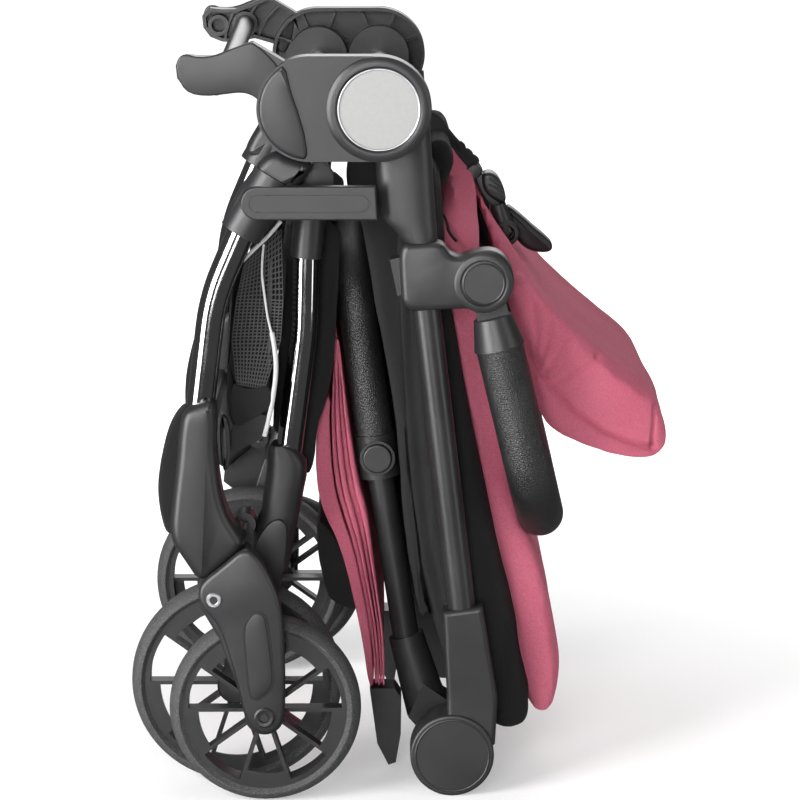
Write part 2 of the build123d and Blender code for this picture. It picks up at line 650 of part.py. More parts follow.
def castor_fork():
    """Single arm outside the wheel, its crown, swivel pin, axle and screw."""
    crown = [(-138, 174), (-104, 206), (-92, 193), (-84, 176), (-124, 152), (-139, 164)]
    body = prism(crown, -ARM_OUT, -FRONT_WHEEL_Y + WHEEL_W / 2)
    arm = [
        (-138, 174), (-139, 163), (-124, 137), (-111, 100), (-105, FRONT_WHEEL_R),
        (-74, FRONT_WHEEL_R), (-76, 130), (-79, 160), (-84, 177), (-104, 206),
    ]
    body = body + prism(arm, -ARM_OUT, -ARM_IN)
    body = body + round_y(FRONT_AXLE_DX, FRONT_WHEEL_R, ARM_END_R, -ARM_OUT, -ARM_IN)
    below = Plane(swivel_point() + SWIVEL_DOWN * SWIVEL_GAP, z_dir=SWIVEL_DOWN)
    body = body & Solid.make_cylinder(260, 300, below)
    body = fillet(body.edges().group_by(Axis.Y)[0], ARM_FILLET)
    inset = [(-109, 155), (-97, 164), (-92, 163), (-86, 104), (-96, 89), (-101, 94)]
    body = body - prism(inset, -ARM_OUT, -ARM_OUT + ARM_INSET_DEPTH)
    gap_out = -FRONT_WHEEL_Y - WHEEL_W / 2 - WHEEL_SIDE_GAP
    gap_r = FRONT_WHEEL_R + WHEEL_TOP_GAP
    body = body - round_y(FRONT_AXLE_DX, FRONT_WHEEL_R, gap_r, gap_out, -FRONT_WHEEL_Y + WHEEL_W)
    pin_root = swivel_point() + SWIVEL_DOWN * SWIVEL_PIN_R
    body = body + rod(pin_root, swivel_point() - SWIVEL_DOWN * SWIVEL_PIN_L, SWIVEL_PIN_R)
    inner = -FRONT_WHEEL_Y + HUB_W / 2 + 1
    body = body + round_y(FRONT_AXLE_DX, FRONT_WHEEL_R, WHEEL_AXLE_R, -ARM_OUT, inner + CLIP_RING_T)
    body = body + round_y(FRONT_AXLE_DX, FRONT_WHEEL_R, CLIP_RING_R, inner, inner + CLIP_RING_T)
    body = body + round_y(FRONT_AXLE_DX, FRONT_WHEEL_R, CLIP_RING_R, -ARM_OUT - CLIP_RING_T, -ARM_OUT)
    return body + round_y(FORK_SCREW_DX, FORK_SCREW_Z, FORK_SCREW_R, -ARM_OUT - CLIP_RING_T, -ARM_OUT)


def wheel_plane(axle_dx, radius, wheel_y):
    """Plane whose Z runs along the axle, in the middle of the wheel."""
    return Plane(world(axle_dx, -wheel_y, radius), x_dir=(1, 0, 0), z_dir=(0, -1, 0))


def tyre(axle_dx, radius, wheel_y):
    """Ring of rubber with round shoulders."""
    half = WHEEL_W / 2
    inner = radius - TYRE_T
    profile = Polyline((inner, -half + 3), (inner, half - 3), (inner + 3, half), (radius - SHOULDER, half))
    crown = ThreePointArc((radius - SHOULDER, half), (radius, 0), (radius - SHOULDER, -half))
    close = Polyline((radius - SHOULDER, -half), (inner + 3, -half), (inner, -half + 3))
    face = Plane.XZ * make_face(profile.edges() + [crown.edge()] + close.edges())
    return wheel_plane(axle_dx, radius, wheel_y).location * revolve(face, Axis.Z)


def rim(axle_dx, radius, wheel_y):
    """Hub, ten spokes and a ring, with five raised lips between paired spokes."""
    outer = radius - TYRE_T - PRESS
    inner = outer - RIM_T
    body = Cylinder(outer, RIM_W) - Cylinder(inner, RIM_W)
    body = body + Cylinder(HUB_WHEEL_R, HUB_W)
    step = 360.0 / SPOKES
    reach = inner - HUB_WHEEL_R + 2
    face = RIM_W / 2
    lip_ring = Cylinder(inner + 1, LIP_T) - Cylinder(inner - LIP_H, LIP_T)
    far = 2 * radius * math.tan(math.radians(step / 2))
    for index in range(SPOKES):
        spoke = Pos(HUB_WHEEL_R - 1 + reach / 2, 0, face - SPOKE_W / 2) * Box(reach, SPOKE_T, SPOKE_W)
        body = body + Rot(0, 0, step * index) * spoke
        if index % 2 == 1:
            corners = [Vector(0, 0, 0), Vector(radius, -far / 2, 0), Vector(radius, far / 2, 0)]
            wedge = Face(Wire.make_polygon(corners, close=True))
            sector = Solid.extrude(wedge, Vector(0, 0, LIP_T))
            lip = (Pos(0, 0, LIP_T / 2) * lip_ring) & (Rot(0, 0, step * (index + 0.5)) * sector)
            body = body + Pos(0, 0, face - LIP_T) * lip
    body = body - Cylinder(WHEEL_AXLE_R + RUN, 2 * HUB_W)
    return wheel_plane(axle_dx, radius, wheel_y).location * body


def leg_link():
    """Flat side link with the pin of the rear leg."""
    half = LINK_H / 2
    right = [
        (LINK_LEFT_DX, LINK_Z - half), (LINK_RIGHT_DX, LINK_Z - half),
        (LINK_RIGHT_DX - 1.5, LINK_Z + half), (LINK_LEFT_DX, LINK_Z + half),
    ]
    body = prism(right, -LINK_OUT, -LINK_IN) + round_y(LINK_LEFT_DX, LINK_Z, half, -LINK_OUT, -LINK_IN)
    body = fillet(body.edges().group_by(Axis.Y)[0], 1.5)
    inset = half - LINK_INSET
    end = LINK_RIGHT_DX - half
    floor = -LINK_OUT + LINK_INSET_DEPTH
    groove = stadium(LINK_LEFT_DX, end, LINK_Z, inset + LINK_GROOVE_W / 2, -LINK_OUT, floor)
    groove = groove - stadium(LINK_LEFT_DX, end, LINK_Z, inset - LINK_GROOVE_W / 2, -LINK_OUT, floor)
    body = body - groove
    start = world(FRONT_TOP_DX, -FRONT_Y, FRONT_TOP_Z)
    body = body - rod(start, front_points()[0], SOCKET_R + PRESS)
    return body + round_y(REAR_PIVOT_DX, LINK_Z, REAR_PIN_R, -LINK_IN - 1, -BOOT_IN)


def rear_points():
    """Corner points of the rear tube's axis."""
    return [
        world(REAR_COLLAR_END_DX, -REAR_Y, REAR_COLLAR_END_Z),
        world(REAR_MID_DX, -REAR_Y, REAR_MID_Z),
        world(REAR_END_DX, -REAR_Y, REAR_END_Z),
    ]


def rear_collar():
    """Head of the rear leg, which turns on the link's pin."""
    top, middle, end = rear_points()
    start = world(REAR_PIVOT_DX, -REAR_Y, LINK_Z)
    body = rod(start, top, REAR_COLLAR_R)
    body = body + round_y(REAR_PIVOT_DX, LINK_Z, REAR_COLLAR_R + 2, -BOOT_OUT, -BOOT_IN)
    body = body - round_y(REAR_PIVOT_DX, LINK_Z, REAR_PIN_R + RUN, -BOOT_OUT, -BOOT_IN)
    into = (top - middle).normalized()
    return body - rod(top - into * TUBE_DEPTH, top + into * TUBE_DEPTH / 2, REAR_TUBE_R + PRESS)


def rear_tube():
    """Gently bent tube of the rear leg."""
    top, middle, end = rear_points()
    top = top + (top - middle).normalized() * TUBE_DEPTH / 2
    end = end + (end - middle).normalized() * TUBE_DEPTH / 2
    return swept([top, middle, end], REAR_TUBE_R, REAR_BEND_R, TUBE_WALL)


def rear_boot():
    """Moulded foot of the rear leg with the plate and axle of its wheel."""
    outline = [
        (-86, 275), (-57, 263), (-57, 248), (-66, 206), (-72, 174), (-84, 174), (-100, 193), (-92, 222),
    ]
    body = soft_prism(outline, -BOOT_OUT, -BOOT_IN, BOOT_FILLET)
    top, middle, end = rear_points()
    into = (end - middle).normalized()
    body = body - rod(end - into * TUBE_DEPTH, end + into * TUBE_DEPTH / 2, REAR_TUBE_R + PRESS)
    gap_r = REAR_WHEEL_R + WHEEL_TOP_GAP
    body = body - round_y(REAR_AXLE_DX, REAR_WHEEL_R, gap_r, -BOOT_OUT - 1, -BOOT_IN + 1)
    plate = [
        (-80, 224), (-68, 206), (REAR_AXLE_DX + 14, REAR_WHEEL_R - 6),
        (REAR_AXLE_DX - 14, REAR_WHEEL_R + 6), (-102, 196),
    ]
    plate_in = -REAR_PLATE_IN + PLATE_LAP
    body = body + prism(plate, -REAR_PLATE_OUT, plate_in)
    body = body + round_y(REAR_AXLE_DX, REAR_WHEEL_R, REAR_PLATE_R, -REAR_PLATE_OUT, plate_in)
    ear_in = -REAR_PLATE_IN + PLATE_LAP / 2
    body = body + round_y(PEDAL_DX, PEDAL_Z, PEDAL_HUB_R, -REAR_PLATE_OUT + PLATE_LAP, ear_in)
    ear = [(-97, 199), (-88, 214), (-99, 221), (-110, 207)]
    body = body + prism(ear, -REAR_PLATE_OUT + PLATE_LAP, ear_in)
    inner = -REAR_Y + HUB_W / 2 + 0.5
    body = body + round_y(REAR_AXLE_DX, REAR_WHEEL_R, WHEEL_AXLE_R, -REAR_PLATE_OUT, inner + CLIP_RING_T)
    body = body + round_y(REAR_AXLE_DX, REAR_WHEEL_R, CLIP_RING_R, inner, inner + CLIP_RING_T)
    return body + round_y(PEDAL_DX, PEDAL_Z, PEDAL_PIN_R, -REAR_PLATE_IN - 1, -PEDAL_IN)


def brake_pedal():
    """Short foot lever that locks the rear wheel."""
    hub = round_y(PEDAL_DX, PEDAL_Z, PEDAL_HUB_R - 0.5, -PEDAL_OUT, -PEDAL_IN)
    half = PEDAL_T / 2
    blade = [
        (PEDAL_DX, PEDAL_Z - half), (PEDAL_DX, PEDAL_Z + half),
        (PEDAL_DX - PEDAL_LENGTH, PEDAL_Z + half - 6), (PEDAL_DX - PEDAL_LENGTH, PEDAL_Z - half - 2),
    ]
    body = hub + prism(blade, -PEDAL_OUT, -PEDAL_IN)
    return body - round_y(PEDAL_DX, PEDAL_Z, PEDAL_PIN_R + RUN, -PEDAL_OUT, -PEDAL_IN)


def drawn(outline, by):
    """The outline moved towards its middle by a distance."""
    count = len(outline)
    mid_x = sum(dx for dx, z in outline) / count
    mid_z = sum(z for dx, z in outline) / count
    moved = []
    for dx, z in outline:
        length = math.hypot(dx - mid_x, z - mid_z)
        share = max(0.2, 1 - by / length)
        moved.append((mid_x + (dx - mid_x) * share, mid_z + (z - mid_z) * share))
    return moved


def cushion(outline, half, draw_in, crown):
    """A padded form: full in the middle, drawn in at both sides."""
    stations = [
        (-half, draw_in), (-half * 0.93, draw_in * 0.35), (-half * 0.7, crown * 0.3), (0, 0),
        (half * 0.7, crown * 0.3), (half * 0.93, draw_in * 0.35), (half, draw_in),
    ]
    wires = []
    for y, by in stations:
        ring = [world(dx, y, z) for dx, z in drawn(outline, by)]
        wires.append(Wire.make_polygon(ring, close=True))
    return Solid.make_loft(wires, ruled=True)


def seat_cushion():
    """Seat pad with its padded underside, hanging folded behind the bumper bar."""
    outline = [
        (81, 473), (64.2, 474), (99, 396), (106, 376), (122, 333), (134, 287), (160, 272), (212, 263),
        (SEAT_TIP_DX, 276), (213, 310), (198, 345), (160, 380), (118, 413), (112, 407), (107, 401),
    ]
    return cushion(outline, SEAT_HALF_W, DRAW_IN, CROWN)


def backrest_cushion():
    """Padded front of the backrest."""
    outline = [
        (123, 53), (112, 96), (103, 147), (86, 209), (64, 312), (50, 400), (44, 470), (46, 505),
        (58, 503), (66, 460), (72, 400), (82, 330), (93, 260), (103, 215), (118, 180), (132, 127),
        (138, 96), (136, 60),
    ]
    return cushion(outline, BACK_HALF_W, DRAW_IN, CROWN)


def backrest_panel():
    """Dark back panel of the backrest."""
    outline = [
        (14, 505), (14, 400), (18, 300), (27, 200), (46, 122), (62, 70), (84, 49), (94, 43), (112, 42),
        (122.6, 53), (111.6, 96), (102.6, 147), (85.6, 209), (63.6, 312), (49.6, 400), (43.6, 470),
        (43.6, 505),
    ]
    half = SLEEVE_IN - FIT
    body = prism(outline, -half, half)
    inner = UPPER_Y - CLIP_HALF_T - 2
    outer = UPPER_Y + CLIP_HALF_T + 2
    for y0, y1 in ((-outer, -inner), (inner, outer)):
        body = body - round_y(FOLD_DX, FOLD_Z, CLIP_SWEEP_R, y0, y1)
    return body


def canopy():
    """Canopy gathered into flat pleats along the folded handle."""
    outline = [
        (-38, 378), (-43, 340), (-47, 345), (-53, 275), (-48, 240), (-44, 238), (-36, 190), (-31, 184),
        (-22, 150), (-13, 108), (-8, CLIP_TOP_Z - 0.7), (4, CLIP_TOP_Z - 0.7), (5, 112), (-6, 205),
        (-9, 232), (-16, 240), (-23, 280), (-25, 300), (-34, 366),
    ]
    return cushion(outline, CANOPY_HALF_W, DRAW_IN / 2, CROWN / 3)


def canopy_clip():
    """Moulded end piece that holds the canopy on the fold socket."""
    outline = [(-8, CLIP_TOP_Z), (-2, 22), (7, 4), (13, 6), (17, 30), (17.5, 60), (12, CLIP_TOP_Z)]
    return prism(outline, -UPPER_Y - CLIP_HALF_T, -UPPER_Y + CLIP_HALF_T)


def basket():
    """Folded shopping basket, open at the top."""
    outline = [
        (-112, 424), (-118, 380), (-120, 330), (-120, 300), (-112, 286), (-92, 286), (-85, 300), (-84, 424),
    ]
    body = prism(outline, -BASKET_HALF_W, BASKET_HALF_W)
    inner = [
        (-109, 430), (-115, 380), (-117, 330), (-117, 302), (-110, 289), (-94, 289), (-88, 302), (-87, 430),
    ]
    half = BASKET_HALF_W - BASKET_WALL
    return body - prism(inner, -half, half)


def harness_strap():
    """Webbing of the harness with its slide."""
    y0 = STRAP_Y - STRAP_W / 2
    y1 = STRAP_Y + STRAP_W / 2
    strap = [
        (55, 504), (57.2, 503.7), (60, 516), (70, 494), (86, 480), (103.6, 460), (102, 458.5),
        (84, 478.4), (68, 492.5), (59.5, 520), (58, 520),
    ]
    slide = [(66, 504), (71, 506), (78, 492), (72, 488)]
    return prism(strap, y0, y1) + prism(slide, y0 - 3, y1 + 3)


def harness_buckle():
    """Buckle of the harness: a tongue, a round socket and a wing."""
    y0 = STRAP_Y - STRAP_W / 2
    y1 = STRAP_Y + STRAP_W / 2
    tongue = prism([(104, 460), (114, 448), (111, 432), (103, 432), (102.6, 457)], y0, y1)
    socket = round_y(109, 427, 10, y0 - 2, y1 + 2) - round_y(109, 427, 6, y0 - 2, y1 - 6)
    wing = prism([(114, 436), (126, 440), (144, 414), (141, 408), (124, 421), (112, 426)], y0, y1)
    return tongue + socket + wing


def main():
    os.makedirs("parts", exist_ok=True)
    save_both("hinge_housing", hinge_housing())
    save_pair("hinge_discs", hinge_disc())
    save_both("seat_bracket", seat_bracket())
    tube_end = BRACKET_OUT - BRACKET_WALL
    save("seat_front_tube", cross_tube(BRACKET_TUBE_DX, BRACKET_TUBE_Z, SEAT_TUBE_R, tube_end))
    axles = [cross_tube(dx, HINGE_Z, AXLE_R, HOUSING_OUT - HOUSING_WALL - 1) for dx in (0, LEG_HINGE_DX)]
    save("hinge_axles", *axles)
    save_both("handle_sleeve", handle_sleeve())
    save_pair("lower_tubes", lower_tube())
    save_both("fold_hinge", fold_hinge())
    save_pair("fold_caps", fold_cap())
    save_both("fold_socket", fold_socket())
    save_pair("upper_tubes", upper_tube())
    save_pair("handle_collars", handle_collar())
    save_both("handle_button", handle_button())
    save("handle_grip", handle_grip())
    save_both("bumper_mount", bumper_mount())
    save_pair("bumper_caps", bumper_cap())
    save_both("release_lever", release_lever())
    save_pair("bumper_collars", bumper_collar())
    save("bumper_bar", bumper_bar())
    save_both("front_socket", front_socket())
    save_pair("front_tubes", front_tube())
    save_both("front_leg", front_leg())
    save("front_cross_bar", cross_tube(FRONT_BAR_DX, FRONT_BAR_Z, FRONT_BAR_R, LEG_IN + 10))
    save_both("leg_link", leg_link())
    save_both("castor_fork", castor_fork())
    save_both("front_tyre", tyre(FRONT_AXLE_DX, FRONT_WHEEL_R, FRONT_WHEEL_Y))
    save_both("front_rim", rim(FRONT_AXLE_DX, FRONT_WHEEL_R, FRONT_WHEEL_Y))
    save_pair("rear_collars", rear_collar())
    save_pair("rear_tubes", rear_tube())
    save_both("rear_boot", rear_boot())
    save("rear_cross_tube", cross_tube(REAR_PIVOT_DX, LINK_Z, AXLE_R, BOOT_IN))
    save_both("brake_pedal", brake_pedal())
    save_both("rear_tyre", tyre(REAR_AXLE_DX, REAR_WHEEL_R, REAR_Y))
    save_both("rear_rim", rim(REAR_AXLE_DX, REAR_WHEEL_R, REAR_Y))
    save("seat_cushion", seat_cushion())
    save("backrest_cushion", backrest_cushion())
    save("backrest_panel", backrest_panel())
    save("canopy", canopy())
    save_pair("canopy_clips", canopy_clip())
    save("basket", basket())
    save("harness_strap", harness_strap())
    save("harness_buckle", harness_buckle())


main()
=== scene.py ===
"""Looks of the folded compact stroller, in metres, in the frame of its solids.

Places are written in millimetres from the main hinge along X, and from the floor along Z.
"""
import json
import math

import bmesh
import bpy
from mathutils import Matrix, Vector, noise


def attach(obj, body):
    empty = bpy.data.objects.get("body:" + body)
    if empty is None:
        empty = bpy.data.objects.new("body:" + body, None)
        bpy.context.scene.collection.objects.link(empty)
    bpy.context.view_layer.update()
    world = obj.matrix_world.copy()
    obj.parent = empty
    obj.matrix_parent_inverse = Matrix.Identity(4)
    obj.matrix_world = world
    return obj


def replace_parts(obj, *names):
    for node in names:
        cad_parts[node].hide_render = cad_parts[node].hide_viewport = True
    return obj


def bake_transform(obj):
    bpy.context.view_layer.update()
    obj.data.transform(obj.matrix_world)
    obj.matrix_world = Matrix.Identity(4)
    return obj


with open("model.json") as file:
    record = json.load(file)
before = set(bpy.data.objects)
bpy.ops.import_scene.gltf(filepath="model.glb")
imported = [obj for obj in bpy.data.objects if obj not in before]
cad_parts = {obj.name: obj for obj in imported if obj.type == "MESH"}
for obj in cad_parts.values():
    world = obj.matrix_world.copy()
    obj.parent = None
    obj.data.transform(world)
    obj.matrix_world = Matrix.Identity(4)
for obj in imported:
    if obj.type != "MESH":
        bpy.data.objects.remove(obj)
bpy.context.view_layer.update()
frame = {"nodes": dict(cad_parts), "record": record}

# Shared places and sizes
MM = 0.001
HINGE_X = -15.5
HINGE_AT = (0, 545)
SIDES = (("left", -1), ("right", 1))
TINY = 1e-9

# The photograph's camera
CAMERA_PLACE = (-0.0152, -2.764, 0.855)
CAMERA_PITCH = 11.8
CAMERA_YAW = 0.35
CAMERA_LENS = 153.1
SENSOR = 36.0

# The stage, in metres
FLOOR_SIZE = 30.0
BACKDROP_SIDES = 64
BACKDROP_REACH = 14.0
BACKDROP_TOP = 16.0
WHITE = (1, 1, 1, 1)
BLANK = (0, 0, 0, 1)
LAMP_AIM = (0, 0, 0.3)
# Each lamp's name, place, size and power
LAMPS = [
    ("key", (-2.3, -2.0, 0.9), (1.5, 2.8), 225),
    ("fill", (2.5, -1.6, 0.9), (0.5, 2.4), 20),
    ("front", (-0.5, -3.4, 1.0), (0.9, 2.2), 80),
    ("top", (0.1, 0.2, 2.6), (1.9, 1.6), 11),
    ("back", (0.6, 2.8, 1.8), (2.4, 1.8), 45),
]


def at(dx, y, z):
    """A place in metres, from the main hinge along X."""
    return Vector(((HINGE_X + dx) * MM, y * MM, z * MM))


# Shader helpers

CLOUD_SHARE = 0.35


def new_material(name):
    """An empty principled material and its parts."""
    material = bpy.data.materials.new(name)
    material.use_nodes = True
    tree = material.node_tree
    return material, tree, tree.nodes["Principled BSDF"]


def set_inputs(node, values):
    """Constants on a node's own sockets."""
    for name, value in values.items():
        node.inputs[name].default_value = value


def texture(tree, kind, scale, **settings):
    """A texture on object coordinates, in repeats per metre."""
    node = tree.nodes.new("ShaderNodeTex" + kind)
    place = tree.nodes.new("ShaderNodeTexCoord")
    tree.links.new(place.outputs["Object"], node.inputs["Vector"])
    node.inputs["Scale"].default_value = scale
    for key, value in settings.items():
        if key in node.inputs:
            node.inputs[key].default_value = value
        else:
            setattr(node, key, value)
    return node


def ramp(tree, source, low, high, socket, start=0.3, stop=0.7):
    """Two colours spread over a texture's values, on a socket."""
    node = tree.nodes.new("ShaderNodeValToRGB")
    node.color_ramp.elements[0].position = start
    node.color_ramp.elements[1].position = stop
    node.color_ramp.elements[0].color = (*low, 1)
    node.color_ramp.elements[1].color = (*high, 1)
    tree.links.new(source, node.inputs["Fac"])
    tree.links.new(node.outputs["Color"], socket)


def spread(tree, source, low, high, socket, start=0.0, stop=1.0):
    """Values turned into a range, on a socket."""
    node = tree.nodes.new("ShaderNodeMapRange")
    set_inputs(node, {"From Min": start, "From Max": stop, "To Min": low, "To Max": high})
    tree.links.new(source, node.inputs["Value"])
    tree.links.new(node.outputs["Result"], socket)


def bump(tree, shader, source, height, under=None):
    """Relief of a height in metres on the shader's normal."""
    node = tree.nodes.new("ShaderNodeBump")
    set_inputs(node, {"Distance": height})
    tree.links.new(source, node.inputs["Height"])
    if under is not None:
        tree.links.new(under, node.inputs["Normal"])
    tree.links.new(node.outputs["Normal"], shader.inputs["Normal"])
    return node.outputs["Normal"]


def moulded(name, low, high, rough, grain, height, metallic=0.0):
    """Moulded, painted or drawn surface with a fine grain and uneven gloss."""
    material, tree, shader = new_material(name)
    broad = texture(tree, "Noise", scale=18.0, Detail=4.0, Roughness=0.6)
    fine = texture(tree, "Noise", scale=grain, Detail=3.0, Roughness=0.65)
    ramp(tree, broad.outputs["Fac"], low, high, shader.inputs["Base Color"])
    spread(tree, broad.outputs["Fac"], rough - 0.06, rough + 0.08, shader.inputs["Roughness"])
    bump(tree, shader, fine.outputs["Fac"], height)
    set_inputs(shader, {"Metallic": metallic})
    return material


def grained_leather(name, low, high):
    """Black leatherette with a pebbled grain."""
    material, tree, shader = new_material(name)
    cells = texture(tree, "Voronoi", scale=620.0, feature="DISTANCE_TO_EDGE")
    fine = texture(tree, "Noise", scale=1500.0, Detail=3.0)
    broad = texture(tree, "Noise", scale=30.0, Detail=3.0)
    ramp(tree, broad.outputs["Fac"], low, high, shader.inputs["Base Color"])
    spread(tree, broad.outputs["Fac"], low=0.34, high=0.46, socket=shader.inputs["Roughness"])
    pebbles = bump(tree, shader, cells.outputs["Distance"], height=0.0006)
    bump(tree, shader, fine.outputs["Fac"], height=0.00008, under=pebbles)
    return material


def woven(name, low, high, thread, sheen, relief=0.00025):
    """Heathered cloth: mottled threads, a fine crossed weave and a soft sheen."""
    material, tree, shader = new_material(name)
    mottle = texture(tree, "Noise", scale=700.0, Detail=4.0, Roughness=0.7)
    cloud = texture(tree, "Noise", scale=14.0, Detail=3.0)
    mix = tree.nodes.new("ShaderNodeMath")
    mix.operation = "MULTIPLY_ADD"
    mix.inputs[1].default_value = CLOUD_SHARE
    tree.links.new(cloud.outputs["Fac"], mix.inputs[0])
    spread(tree, mottle.outputs["Fac"], 0.0, 1.0 - CLOUD_SHARE, mix.inputs[2])
    ramp(tree, mix.outputs["Value"], low, high, shader.inputs["Base Color"], start=0.25, stop=0.75)
    warp = texture(tree, "Wave", scale=thread, bands_direction="Z", Distortion=0.6)
    weft = texture(tree, "Wave", scale=thread, bands_direction="DIAGONAL", Distortion=0.6)
    cross = tree.nodes.new("ShaderNodeMath")
    cross.operation = "ADD"
    tree.links.new(warp.outputs["Fac"], cross.inputs[0])
    tree.links.new(weft.outputs["Fac"], cross.inputs[1])
    bump(tree, shader, cross.outputs["Value"], relief)
    set_inputs(shader, {"Roughness": 0.85, "Specular IOR Level": 0.25})
    set_inputs(shader, {"Sheen Weight": sheen, "Sheen Roughness": 0.5})
    return material


def speckled_rubber(name, low, high):
    """Tyre foam: dark grey with pale specks and a rough skin."""
    material, tree, shader = new_material(name)
    specks = texture(tree, "Noise", scale=1100.0, Detail=2.0)
    ramp(tree, specks.outputs["Fac"], low, high, shader.inputs["Base Color"], start=0.42, stop=0.78)
    spread(tree, specks.outputs["Fac"], low=0.6, high=0.85, socket=shader.inputs["Roughness"])
    bump(tree, shader, specks.outputs["Fac"], height=0.0003)
    return material


def brushed_disc(name, low, high):
    """Pale silver plate with a soft brushed grain."""
    material, tree, shader = new_material(name)
    lines = texture(tree, "Noise", scale=260.0, Detail=5.0, Roughness=0.7)
    ramp(tree, lines.outputs["Fac"], low, high, shader.inputs["Base Color"])
    spread(tree, lines.outputs["Fac"], low=0.36, high=0.5, socket=shader.inputs["Roughness"])
    set_inputs(shader, {"Metallic": 0.1})
    bump(tree, shader, lines.outputs["Fac"], height=0.00001)
    return material


PLASTIC = moulded(
    "charcoal_plastic", (0.012, 0.012, 0.013), (0.019, 0.019, 0.020), rough=0.38, grain=1900.0,
    height=0.00008, metallic=0.15)
DARK_PLASTIC = moulded(
    "black_plastic", (0.006, 0.006, 0.0063), (0.012, 0.012, 0.0126), rough=0.42, grain=1700.0, height=0.00010)
# Painted shade: a near-black, rough copy of the black plastic for the thin ring round the fork's inset,
# standing in for the shade in its groove
GROOVE_SHADE = moulded(
    "groove_shade_plastic", (0.003, 0.003, 0.0032), (0.006, 0.006, 0.0063), rough=0.8, grain=1700.0, height=0.00010)
RIM = moulded(
    "rim_plastic", (0.010, 0.010, 0.0105), (0.017, 0.017, 0.0175), rough=0.36, grain=1500.0, height=0.00010)
TUBE = moulded(
    "dark_tube", (0.009, 0.009, 0.0095), (0.014, 0.014, 0.0145), rough=0.34, grain=2400.0, height=0.00003)
GLOSS_TUBE = moulded(
    "gloss_tube", (0.26, 0.26, 0.26), (0.32, 0.32, 0.32), rough=0.09, grain=300.0, height=0.000002,
    metallic=1.0)
STEEL = moulded(
    "steel", (0.42, 0.42, 0.43), (0.56, 0.56, 0.57), rough=0.32, grain=1200.0, height=0.00003, metallic=1.0)
LEATHER = grained_leather("leatherette", (0.006, 0.006, 0.006), (0.012, 0.012, 0.012))
PINK = woven("pink_fabric", (0.56, 0.085, 0.155), (0.84, 0.205, 0.310), thread=1500.0, sheen=0.06)
BLACK = woven("black_fabric", (0.005, 0.005, 0.0055), (0.014, 0.014, 0.0146), thread=1300.0, sheen=0.02)
WEBBING = woven(
    "webbing", (0.010, 0.010, 0.011), (0.026, 0.026, 0.027), thread=700.0, sheen=0.05, relief=0.0005)
RUBBER = speckled_rubber("tyre", (0.018, 0.018, 0.0185), (0.085, 0.085, 0.087))
SILVER = brushed_disc("silver_plate", (0.195, 0.195, 0.193), (0.215, 0.215, 0.212))
NETTING = woven("netting", (0.045, 0.045, 0.046), (0.085, 0.085, 0.087), thread=900.0, sheen=0.05)
PIPING = woven("grey_piping", (0.50, 0.50, 0.50), (0.68, 0.68, 0.68), thread=900.0, sheen=0.1)

SLOT_MATERIALS = {
    "charcoal_plastic": PLASTIC, "black_plastic": DARK_PLASTIC, "dark_tube": TUBE, "steel": STEEL,
    "silver_plate": SILVER, "leatherette": LEATHER, "pink_fabric": PINK, "black_fabric": BLACK,
    "webbing": WEBBING, "tyre": RUBBER, "rim_plastic": RIM,
}

GLOSSY_NODES = ("front_tubes", "rear_tubes")
BEVELLED_SLOTS = ("charcoal_plastic", "black_plastic")
EDGE_R = 0.9
EDGE_STEPS = 2
BROAD_EDGES = ("hinge_housing", "seat_bracket")
BROAD_EDGE_R = 2.4
BROAD_EDGE_STEPS = 3
EDGE_ANGLE = math.radians(40)
SHARP_ANGLE = math.radians(32)


def shade_smooth(data):
    """Smooth shading on all faces of a mesh."""
    for polygon in data.polygons:
        polygon.use_smooth = True


def new_object(name, data):
    """A new object in the scene."""
    made = bpy.data.objects.new(name, data)
    bpy.context.scene.collection.objects.link(made)
    return made


def dress_solids():
    """Gives each solid of the frame the finish of its slot, and soft edges."""
    for part in frame["record"]["subparts"]:
        solid = frame["nodes"][part["node"]]
        solid.data.materials.clear()
        glossy = part["node"] in GLOSSY_NODES
        solid.data.materials.append(GLOSS_TUBE if glossy else SLOT_MATERIALS[part["material_slot"]])
        shade_smooth(solid.data)
        solid.data.set_sharp_from_angle(angle=SHARP_ANGLE)
        if part["material_slot"] in BEVELLED_SLOTS:
            bevel = solid.modifiers.new("soft_edges", "BEVEL")
            broad = part["node"].startswith(BROAD_EDGES)
            bevel.width = (BROAD_EDGE_R if broad else EDGE_R) * MM
            bevel.segments = BROAD_EDGE_STEPS if broad else EDGE_STEPS
            bevel.limit_method = "ANGLE"
            bevel.angle_limit = EDGE_ANGLE
            bevel.harden_normals = True


# Stage


def ring_faces(rows, sides):
    """Faces between rings of points, each ring joined to the next."""
    faces = []
    for row in range(rows - 1):
        for k in range(sides):
            a = row * sides + k
            b = row * sides + (k + 1) % sides
            faces.append((a, b, b + sides, a + sides))
    return faces


def make_floor():
    """Pale floor that glows to white away from the part."""
    bpy.ops.mesh.primitive_plane_add(size=FLOOR_SIZE)
    floor = bpy.context.object
    floor.name = "floor"
    material, tree, shader = new_material("floor")
    set_inputs(shader, {"Base Color": (0.62, 0.62, 0.62, 1), "Roughness": 0.6, "Emission Color": WHITE})
    place = tree.nodes.new("ShaderNodeTexCoord")
    reach = tree.nodes.new("ShaderNodeVectorMath")
    reach.operation = "LENGTH"
    tree.links.new(place.outputs["Object"], reach.inputs[0])
    glow = shader.inputs["Emission Strength"]
    spread(tree, reach.outputs["Value"], low=0.36, high=1.0, socket=glow, start=0.25, stop=1.3)
    floor.data.materials.append(material)
    floor.visible_glossy = False


